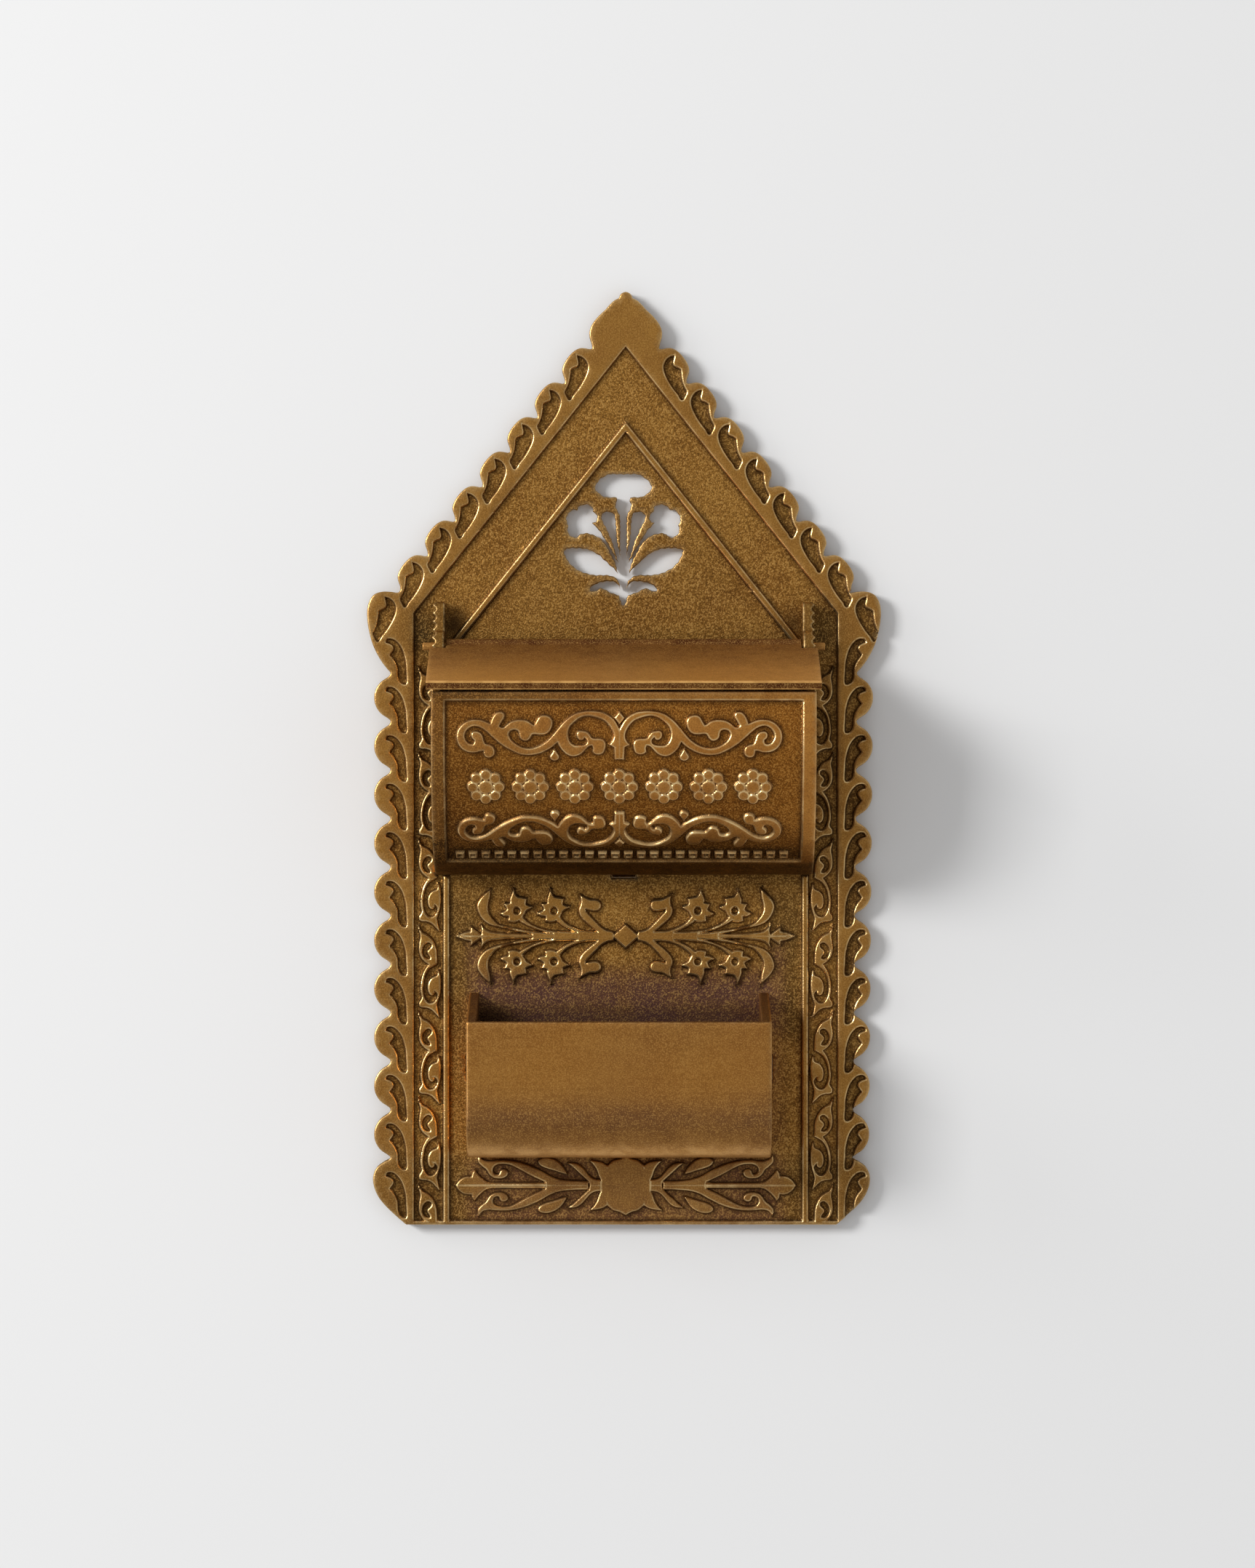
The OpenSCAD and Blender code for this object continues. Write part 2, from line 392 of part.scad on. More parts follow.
// Flat work drawn out from the wall and up, and carried along X from x0 for a length
module along_x(x0, l) { translate([x0 + l, 0, 0]) rotate([90, 0, -90]) linear_extrude(l) children(); }

module field() {
    drop = field_half * slope;
    polygon([[0, tip_z - apex_drop], [field_half, tip_z - apex_drop - drop],
        [field_half, foot_z + lip_h], [-field_half, foot_z + lip_h],
        [-field_half, tip_z - apex_drop - drop]]);
}
module rib_frame() {
    rise = chevron_w / cos(atan(slope));
    apex = tip_z - chevron_drop;
    foot = foot_z + lip_h - eps;
    difference() {
        polygon([[0, apex], [rib_x, apex - rib_x * slope], [rib_x, foot], [-rib_x, foot],
            [-rib_x, apex - rib_x * slope]]);
        polygon([[0, apex - rise], [rib_x - rib_w, apex - rise - (rib_x - rib_w) * slope],
            [rib_x - rib_w, foot - eps], [rib_w - rib_x, foot - eps],
            [rib_w - rib_x, apex - rise - (rib_x - rib_w) * slope]]);
    }
}
module vines() {
    both() for (i = [0 : vine_count - 1])
        translate([field_half, gable_foot[1] - vine_drop - i * vine_pitch]) difference() {
            shape(vine_turn);
            shape(vine_eye);
        }
}
module spray() {
    translate([0, spray_z]) {
        shape(spray_lozenge);
        four() {
            shape(spray_hook);
            shape(spray_near_stem);
            shape(spray_far_stem);
            shape(spray_horn);
            shape(spray_spear);
            for (at = spray_flowers) translate(at) difference() {
                shape(spray_flower);
                circle(spray_eye_r);
            }
        }
    }
}
module foot_band() {
    translate([0, foot_z + foot_band_z]) {
        shape(whole(foot_heart));
        four() {
            shape(foot_fleur);
            shape(foot_scroll);
            shape(foot_leaf_far);
            shape(foot_leaf_mid);
            shape(foot_leaf_near);
        }
    }
}
// Where the box and the tray stand on the plate's ground
module seats() {
    g = tab_gap;
    for (s = [-1, 1]) translate([box_x + s * (box_w - cheek_t) / 2, (box_bottom + ear_top) / 2])
        square([cheek_t + 2 * g, ear_top - box_bottom + 2 * g], center = true);
    translate([box_x - box_w / 2 - g, box_bottom - g]) square([box_w + 2 * g, box_t + 2 * g]);
    translate([tray_x - tray_w / 2 - g, tray_bottom - g]) square([tray_w + 2 * g, tray_t + 2 * g]);
}
module slots() {
    g = tab_gap;
    for (s = [-1, 1]) {
        translate([box_x + s * (box_w - cheek_t) / 2, box_tab_z])
            square([cheek_t + 2 * g, tab_l + 2 * g], center = true);
        translate([tray_x + s * (tray_w - tray_t + slot_extra) / 2, tray_tab_z])
            square([tray_t + slot_extra + 2 * g, tab_l + 2 * g], center = true);
    }
    translate([box_x - tab_l / 2 - g, box_bottom - slot_extra - g])
        square([tab_l + 2 * g, box_t + slot_extra + 2 * g]);
}
module pierced_flower() { translate([flower_x, flower_z]) edge(whole(flower_knots)); }
module back_plate() {
    color(brass) difference() {
        upright(plate_t) edge(concat(trimmed_edge, other_half(right_edge)));
        upright(relief_h + eps, ground_t) {
            difference() {
                field();
                rib_frame();
                vines();
                spray();
                foot_band();
            }
            seats();
        }
        upright(relief_h + eps, ground_t) both() {
            for (i = [0 : gable_count - 1])
                translate([finial_half + i * gable_dx, ledge_z - i * gable_dz]) shape(gable_leaf);
            translate(gable_foot) shape(gable_leaf);
            for (i = [-1 : side_count]) translate([notch_x, side_z - i * side_pitch]) shape(side_leaf);
        }
        upright(plate_t + 2 * eps, -eps) {
            pierced_flower();
            slots();
        }
    }
}

// The box seen from its side, out from the wall and up, drawn in by d from its outer skin
module box_side(d) {
    top = hinge_z;
    translate([ground_t, box_bottom + d]) square([front_d - ground_t, top - box_bottom - d]);
    translate([front_d - eps, front_z]) square([box_r - d + eps, top - front_z]);
    intersection() {
        translate([front_d, front_z]) circle(box_r - d);
        translate([front_d - eps, box_bottom]) square([box_r + eps, box_r + eps]);
    }
}
// What lies above the closed lid's underside, less a gap
module above_lid(gap) {
    translate([hinge_depth, hinge_z]) rotate(-lid_tilt) translate([-far / 2, lid_lift - lid_t - gap]) square(far);
}
// Height on the front of a run v from its top edge, measured round the curve
function front_at(v) = let (straight = box_top - front_z) v < straight ? box_top - v
    : front_z - box_r * sin((v - straight) / box_r * 180 / PI);
function on_front(k) = [for (p = k) concat([p[0], front_at(middle_v - p[1])], sharp(p) ? [1] : [])];
function upside_down(k) = [for (p = k) concat([p[0], -p[1]], sharp(p) ? [1] : [])];
function box_corners(x, y, half) = [[x - half[0], y - half[1], 1], [x + half[0], y - half[1], 1],
    [x + half[0], y + half[1], 1], [x - half[0], y + half[1], 1]];
module scrollwork() {
    both() {
        shape(on_front(scroll_knots));
        shape(on_front(upside_down(scroll_knots)));
        shape(on_front(drop_knots));
        shape(on_front(upside_down(drop_knots)));
    }
    shape(on_front(lozenge_knots));
    shape(on_front(upside_down(lozenge_knots)));
}
module rosettes() {
    for (i = [0 : rosette_count - 1]) {
        x = (i - (rosette_count - 1) / 2) * rosette_pitch;
        for (a = [0 : petal_count - 1]) {
            turn = a * 360 / petal_count;
            at = [x + (rosette_r - petal_r) * sin(turn), (rosette_r - petal_r) * cos(turn)];
            translate([at[0], front_at(middle_v - at[1])]) circle(petal_r);
        }
        translate([x, front_at(middle_v)]) circle(boss_r);
    }
}
module studs() {
    for (i = [0 : stud_count - 1]) {
        x = (i - (stud_count - 1) / 2) * stud_pitch;
        difference() {
            shape(on_front(box_corners(x, middle_v - stud_v, stud_half)));
            shape(on_front(box_corners(x, middle_v - stud_v, dimple_half)));
        }
    }
}
module box_panel() {
    panel_w = box_w - 2 * frame_side;
    panel_z = front_at(frame_top + panel_run);
    color(brass) {
        along_x(box_x - box_w / 2, box_w) difference() {
            box_side(front_relief);
            box_side(box_t);
            above_lid(front_gap);
        }
        intersection() {
            along_x(box_x - box_w / 2, box_w) difference() {
                box_side(0);
                box_side(front_relief + eps);
                above_lid(front_gap);
            }
            upright(box_depth + eps, 0) {
                difference() {
                    translate([box_x - box_w, box_bottom - eps]) square([2 * box_w, far]);
                    translate([box_x - panel_w / 2, panel_z])
                        square([panel_w, box_top - frame_top - panel_z]);
                }
                translate([box_x + scroll_x, 0]) {
                    scrollwork();
                    rosettes();
                }
                translate([box_x + stud_x, 0]) studs();
            }
        }
        translate([box_x - tab_l / 2, -ground_t - eps, box_bottom])
            cube([tab_l, ground_t + eps - tab_inset, box_t]);
    }
}
module box_cheek(x0) {
    color(brass) difference() {
        along_x(x0, cheek_t) {
            difference() {
                box_side(box_t);
                above_lid(lid_gap);
            }
            translate([hinge_depth, hinge_z]) circle(ear_r);
            translate([ground_t, front_z]) square([hinge_depth - ground_t, hinge_z - front_z]);
            translate([ground_t, front_z]) square([ear_depth - ground_t, ear_top - front_z - ear_r / 2]);
            translate([ground_t, hinge_z]) square([ear_depth - ground_t - ear_r / 2, ear_top - hinge_z]);
            translate([ear_depth - ear_r / 2, ear_top - ear_r / 2]) circle(ear_r / 2);
            translate([tab_inset, box_tab_z - tab_l / 2]) square([ground_t, tab_l]);
        }
        translate([x0 - eps, -hinge_depth, hinge_z]) rotate([0, 90, 0])
            cylinder(r = rod_r + rod_gap, h = cheek_t + 2 * eps);
    }
}
module box_cheek_left() { box_cheek(box_x - box_w / 2); }
module box_cheek_right() { box_cheek(box_x + box_w / 2 - cheek_t); }

module lid() {
    lid_w = box_w + 2 * lid_side;
    color(dark_brass) translate([box_x, -hinge_depth, hinge_z]) rotate([lid_tilt, 0, 0]) difference() {
        union() {
            translate([-lid_w / 2, -lid_l, lid_lift - lid_t]) cube([lid_w, lid_l - tongue_l, lid_t]);
            translate([-tongue_w / 2, -lid_l + eps, lid_lift - lid_t]) cube([tongue_w, lid_l - eps, lid_t]);
            translate([-tongue_w / 2, 0, 0]) rotate([0, 90, 0]) cylinder(r = barrel_r, h = tongue_w);
        }
        translate([-tongue_w / 2 - eps, 0, 0]) rotate([0, 90, 0])
            cylinder(r = rod_r, h = tongue_w + 2 * eps);
    }
}
module hinge_rod() {
    color(dark_brass) translate([box_x - rod_l / 2, -hinge_depth, hinge_z]) rotate([0, 90, 0])
        cylinder(r = rod_r, h = rod_l);
}

// The tray seen from its side, drawn in by d from its outer skin
module tray_side(d, top) {
    corner = [tray_depth - tray_r, tray_bottom + tray_r];
    translate([ground_t, tray_bottom + d]) square([corner[0] - ground_t, top - tray_bottom - d]);
    translate([ground_t, corner[1]]) square([tray_depth - d - ground_t, top - corner[1]]);
    intersection() {
        translate(corner) circle(tray_r - d);
        translate([corner[0] - eps, tray_bottom]) square([tray_r + eps, tray_r + eps]);
    }
}
module tray_panel() {
    color(brass) along_x(tray_x - tray_w / 2, tray_w) difference() {
        tray_side(0, tray_top);
        tray_side(tray_t, tray_top + eps);
    }
}
module tray_cheek(x0) {
    d = tray_depth - tray_t;
    color(brass) along_x(x0, tray_t) {
        tray_side(tray_t, tray_top);
        polygon([[ground_t, tray_top - eps], [d, tray_top - eps], [d, tray_top], [ground_t, tray_cheek_top]]);
        translate([tab_inset, tray_tab_z - tab_l / 2]) square([ground_t, tab_l]);
    }
}
module tray_cheek_left() { tray_cheek(tray_x - tray_w / 2); }
module tray_cheek_right() { tray_cheek(tray_x + tray_w / 2 - tray_t); }

back_plate();
box_panel();
box_cheek_left();
box_cheek_right();
lid();
hinge_rod();
tray_panel();
tray_cheek_left();
tray_cheek_right();
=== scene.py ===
import math

import bmesh
import bpy
import numpy as np
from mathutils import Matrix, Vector
from mathutils.geometry import delaunay_2d_cdt


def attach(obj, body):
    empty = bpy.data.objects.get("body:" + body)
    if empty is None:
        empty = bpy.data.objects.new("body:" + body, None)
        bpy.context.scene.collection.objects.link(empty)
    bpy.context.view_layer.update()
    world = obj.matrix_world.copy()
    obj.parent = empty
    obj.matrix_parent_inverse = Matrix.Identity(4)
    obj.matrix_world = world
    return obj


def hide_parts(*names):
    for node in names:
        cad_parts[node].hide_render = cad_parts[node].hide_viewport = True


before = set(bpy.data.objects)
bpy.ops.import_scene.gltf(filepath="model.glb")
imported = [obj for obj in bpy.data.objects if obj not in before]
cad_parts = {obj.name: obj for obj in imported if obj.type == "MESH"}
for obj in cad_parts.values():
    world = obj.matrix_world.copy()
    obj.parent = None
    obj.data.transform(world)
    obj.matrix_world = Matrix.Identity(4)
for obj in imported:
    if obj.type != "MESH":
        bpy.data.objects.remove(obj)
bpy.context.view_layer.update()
print("frame loaded")

# Everything below is worked out in millimetres, as across, up and out from the wall,
# and turned into metres where a mesh is made.


# A closed curve through knots. Between two knots it is the cubic with their places and slopes:
# a knot's slope follows the line between its neighbours, and a third value makes it a corner.
def drawCurve(knots, spacing):
    point = np.array([knot[:2] for knot in knots], float)
    corner = np.array([len(knot) > 2 for knot in knots])
    ahead = np.roll(point, -1, 0)
    chord = ahead - point
    span = np.linalg.norm(chord, axis=1)
    across = ahead - np.roll(point, 1, 0)
    across /= np.linalg.norm(across, axis=1)[:, None]
    leave = np.where(corner[:, None], chord, across * span[:, None])
    arrive = np.where(np.roll(corner, -1)[:, None], chord, np.roll(across, -1, 0) * span[:, None])
    count = np.maximum(1, np.ceil(span / spacing)).astype(int)
    which = np.repeat(np.arange(len(point)), count)
    t = ((np.arange(len(which)) - (np.cumsum(count) - count)[which]) / count[which])[:, None]
    return ((2 * t**3 - 3 * t**2 + 1) * point[which] + (t**3 - 2 * t**2 + t) * leave[which]
            + (3 * t**2 - 2 * t**3) * ahead[which] + (t**3 - t**2) * arrive[which])


def placeKnots(knots, x=0.0, z=0.0, wide=1.0, tall=1.0):
    return [[knot[0] * wide + x, knot[1] * tall + z] + list(knot[2:]) for knot in knots]


# a half outline that starts and ends on the centre line, closed by its mirror image
def wholeKnots(half):
    return half + [[-knot[0]] + list(knot[1:]) for knot in half[-2:0:-1]]


def bothSides(loops):
    return loops + [loop * [-1, 1] for loop in loops]


def fourWays(loops):
    return bothSides(loops + [loop * [1, -1] for loop in loops])


def shift(loops, x, z):
    return [loop + [x, z] for loop in loops]


def rectangle(x0, z0, x1, z1, spacing=1.0):
    return drawCurve([[x0, z0, 1], [x1, z0, 1], [x1, z1, 1], [x0, z1, 1]], spacing)


# Distance to the nearest side of a closed loop, positive inside it: a point is inside when a
# ray from it to the right crosses the loop an odd number of times.
def depthInside(points, loop):
    side = np.roll(loop, -1, 0) - loop
    length2 = (side**2).sum(1) + 1e-12
    rise = np.where(np.abs(side[:, 1]) < 1e-9, 1e-9, side[:, 1])
    depth = np.empty(len(points))
    batch = max(1, 40000 // len(loop))
    for first in range(0, len(points), batch):
        awayX = points[first:first + batch, 0, None] - loop[:, 0]
        awayZ = points[first:first + batch, 1, None] - loop[:, 1]
        along = np.clip((awayX * side[:, 0] + awayZ * side[:, 1]) / length2, 0, 1)
        nearest = np.sqrt(((awayX - along * side[:, 0])**2 + (awayZ - along * side[:, 1])**2).min(1))
        crosses = (awayZ < 0) != (awayZ < side[:, 1])
        crosses &= awayX < awayZ * side[:, 0] / rise
        depth[first:first + batch] = np.where(crosses.sum(1) % 2 == 1, nearest, -nearest)
    return depth


# depth inside the nearest of several loops, and minus reach where none is near
def deepest(points, loops, reach=1.5):
    depth = np.full(len(points), -reach)
    for loop in loops:
        near = np.all((points > loop.min(0) - reach) & (points < loop.max(0) + reach), axis=1)
        if near.any():
            depth[near] = np.maximum(depth[near], depthInside(points[near], loop))
    return depth


def smoothStep(low, high, value):
    t = np.clip((value - low) / (high - low), 0, 1)
    return t * t * (3 - 2 * t)


# a few crossed waves, from -1 to 1, for the unevenness of a hand-dressed casting
def unevenness(x, z, wave):
    return (np.sin(x / wave + 1.3 * np.sin(z / wave / 1.7)) + np.sin(z / wave * 1.27 + 2.1)
            + np.sin((x + z) / wave * 0.61 + 0.7)) / 3


def rowsAlong(loops, offsets):
    rows = []
    for loop in loops:
        along = np.roll(loop, -1, 0) - np.roll(loop, 1, 0)
        along /= np.linalg.norm(along, axis=1)[:, None] + 1e-12
        square = np.stack([along[:, 1], -along[:, 0]], 1)
        rows += [loop + offset * square for offset in offsets]
    return np.vstack(rows) if rows else np.empty((0, 2))


def gridInside(loop, step):
    low, high = loop.min(0), loop.max(0)
    x, z = np.meshgrid(np.arange(low[0] + step / 2, high[0], step), np.arange(low[1] + step / 2, high[1], step))
    x = x + (np.arange(x.shape[0]) % 2)[:, None] * step / 2
    return np.stack([x.ravel(), z.ravel()], 1)


# one point in each small square cell, the first that was given
def thinOut(points, cell):
    first = np.unique(np.round(points / cell).astype(np.int64), axis=0, return_index=True)[1]
    return points[np.sort(first)]


def triangulate(boundaries, inner):
    points = np.vstack(list(boundaries) + [inner])
    edges, start = [], 0
    for loop in boundaries:
        index = np.arange(len(loop)) + start
        edges.append(np.stack([index, np.roll(index, -1)], 1))
        start += len(loop)
    found = delaunay_2d_cdt(points.tolist(), np.vstack(edges).tolist(), [], 1, 1e-6)
    if len(found[0]) != len(points):
        print("  note: the triangulation changed the number of points", len(points), len(found[0]))
    triangles = np.array(found[2], int)
    middle = points[triangles].mean(1)
    if len(boundaries) > 1:
        triangles = triangles[deepest(middle, boundaries[1:]) < 0]
    return points, triangles


# The mesh of one casting. Its outline and holes are loops in the piece's own flat plan, face()
# gives the height of its face over that plan and the marks that its material reads, and place()
# bends plan and height into the piece's real shape. Face, walls and back share their edges, and
# the face falls over a quarter circle along them. A sheet is rounded on both of its sides. Two
# rows of points down each wall keep the bright edges, worn metal and painted highlight, to the
# edges; inside and side are how dark the back and the walls are, tarnish and painted shade.
def castPiece(name, body, nodes, material, boundaries, inner, face, place, rim=0.3, sheet=False,
              inside=0.6, side=0.45):
    outer = boundaries[0]
    edgeRows = rowsAlong(boundaries, [-rim, -0.5 * rim, -0.17 * rim, 0.17 * rim, 0.5 * rim, rim])
    inner = thinOut(np.vstack([edgeRows, inner]), 0.1)
    inner = inner[np.minimum(depthInside(inner, outer), -deepest(inner, boundaries[1:], 1.0)) > 0.1 * rim]
    points, triangles = triangulate(boundaries, inner)
    rimCount = sum(len(loop) for loop in boundaries)
    fromEdge = np.minimum(depthInside(points, outer), -deepest(points, boundaries[1:], 3.0))
    fromEdge[:rimCount] = 0
    fall = rim * (1 - np.sqrt(1 - (1 - np.clip(fromEdge / rim, 0, 1))**2))
    height, marks = face(points)
    # every rim of the face is painted bright, as worn metal and as painted highlight
    marks["wearAndHighlight"] = np.maximum(marks["wearAndHighlight"], 0.6 * np.exp(-((fromEdge - 0.12) / 0.22)**2))
    top = place(points[:, 0], points[:, 1], height - fall)
    under, underTriangles = (points, triangles) if sheet else triangulate(boundaries, points[:0])
    bottom = place(under[:, 0], under[:, 1], fall if sheet else np.zeros(len(under)))
    rimX, rimZ = points[:rimCount].T
    high, low = (height - fall)[:rimCount], rim if sheet else 0.0
    step = np.minimum(0.16, 0.3 * (high - low))
    vertices = np.vstack([top, bottom, place(rimX, rimZ, high - step), place(rimX, rimZ, low + step)])
    belowTop = len(top) + len(bottom)
    faces, start = [triangles, underTriangles[:, ::-1] + len(top)], 0
    for loop in boundaries:
        index = np.arange(len(loop)) + start
        rows = [index, index + belowTop, index + belowTop + rimCount, index + len(top)]
        for row, beneath in zip(rows[:-1], rows[1:]):
            faces += [np.stack([row, beneath, np.roll(row, -1)], 1),
                      np.stack([np.roll(row, -1), beneath, np.roll(beneath, -1)], 1)]
        start += len(loop)
    flat, walls = np.zeros(len(bottom)), np.zeros(2 * rimCount)
    behind = {"rise": flat + 1, "wearAndHighlight": marks["wearAndHighlight"] if sheet else flat, "grimeAndShade": flat, "tarnishAndShade": flat + inside}
    along = {"rise": walls + 1, "wearAndHighlight": walls, "grimeAndShade": walls, "tarnishAndShade": walls + side}
    marks = {label: np.concatenate([marks[label], behind[label], along[label]]) for label in behind}
    return finishPiece(name, body, nodes, material, vertices, np.vstack(faces), marks)


def finishPiece(name, body, nodes, material, vertices, faces, marks, sharp=75):
    mesh = bpy.data.meshes.new(name)
    mesh.from_pydata((vertices * 0.001).tolist(), [], faces.tolist())
    shell = bmesh.new()
    shell.from_mesh(mesh)
    bmesh.ops.recalc_face_normals(shell, faces=shell.faces)
    shell.to_mesh(mesh)
    shell.free()
    for label, values in marks.items():
        layer = mesh.attributes.new(label, "FLOAT", "POINT")
        layer.data.foreach_set("value", values.astype(np.float32))
    mesh.shade_smooth()
    mesh.set_sharp_from_angle(angle=math.radians(sharp))
    mesh.materials.append(material)
    piece = bpy.data.objects.new(name, mesh)
    bpy.context.scene.collection.objects.link(piece)
    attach(piece, body)
    if nodes:
        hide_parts(*nodes)
    print("  made", name, len(mesh.vertices), "points,", len(mesh.polygons), "faces")
    return piece


def srgb(red, green, blue):
    value = np.array([red, green, blue]) / 255
    linear = np.where(value <= 0.04045, value / 12.92, ((value + 0.055) / 1.055)**2.4)
    return tuple(float(channel) for channel in linear) + (1.0,)


# how each casting is coloured: its raised faces and its ground, each from dark to light, the
# patina in its corners and the tarnish, both also used as painted shade, the bare metal on its
# edges, also used as painted highlight, and the size of its grain per metre
brassLook = {
    "faceDark": srgb(142, 98, 44), "face": srgb(172, 124, 58),
    "groundDark": srgb(130, 86, 34), "ground": srgb(168, 120, 54),
    "patina": srgb(44, 25, 11), "tarnishAndShade": srgb(54, 40, 18), "lowTarnishAndShade": srgb(90, 60, 60),
    "speck": srgb(230, 182, 106), "bright": srgb(255, 224, 164), "sheen": srgb(255, 235, 205), "grain": 3300, "bump": 0.00012, "metallic": 0.9,
}
copperLook = dict(brassLook, faceDark=srgb(160, 104, 46), face=srgb(190, 132, 62), groundDark=srgb(122, 72, 20),
                  ground=srgb(162, 104, 38), tarnishAndShade=srgb(58, 34, 10), speck=srgb(222, 164, 84))
lidLook = dict(brassLook, faceDark=srgb(178, 124, 60), face=srgb(202, 146, 72), tarnishAndShade=srgb(70, 27, 2),
               bright=srgb(240, 186, 112), sheen=srgb(255, 222, 172), grain=4200, bump=0.00003, metallic=0.55)
trayLook = dict(brassLook, faceDark=srgb(154, 102, 42), face=srgb(182, 128, 60), tarnishAndShade=srgb(84, 56, 42),
                lowTarnishAndShade=srgb(84, 56, 42), bright=srgb(230, 188, 130), grain=3600, bump=0.00006)


def mixColour(tree, factor, first, second, blend="MIX"):
    node = tree.nodes.new("ShaderNodeMix")
    node.data_type = "RGBA"
    node.blend_type = blend
    for socket, value in ((node.inputs[0], factor), (node.inputs[6], first), (node.inputs[7], second)):
        if hasattr(value, "is_output"):
            tree.links.new(value, socket)
        else:
            socket.default_value = value
    return node.outputs[2]


def calculate(tree, operation, *values):
    node = tree.nodes.new("ShaderNodeMath")
    node.operation = operation
    node.use_clamp = False
    for socket, value in zip(node.inputs, values):
        if hasattr(value, "is_output"):
            tree.links.new(value, socket)
        else:
            socket.default_value = value
    return node.outputs[0]


def between(tree, value, low, high, start=0.0, end=1.0):
    node = tree.nodes.new("ShaderNodeMapRange")
    node.interpolation_type = "SMOOTHSTEP"
    tree.links.new(value, node.inputs["Value"])
    for socket, number in zip(("From Min", "From Max", "To Min", "To Max"), (low, high, start, end)):
        node.inputs[socket].default_value = number
    return node.outputs["Result"]


def noise(tree, place, scale, detail=3.0, roughness=0.55, stretch=None):
    node = tree.nodes.new("ShaderNodeTexNoise")
    node.inputs["Scale"].default_value = scale
    node.inputs["Detail"].default_value = detail
    node.inputs["Roughness"].default_value = roughness
    if stretch:
        mapping = tree.nodes.new("ShaderNodeMapping")
        mapping.inputs["Scale"].default_value = stretch
        tree.links.new(place, mapping.inputs["Vector"])
        place = mapping.outputs["Vector"]
    tree.links.new(place, node.inputs["Vector"])
    return node.outputs["Fac"]


def mark(tree, name):
    node = tree.nodes.new("ShaderNodeAttribute")
    node.attribute_name = name
    return node.outputs["Fac"]


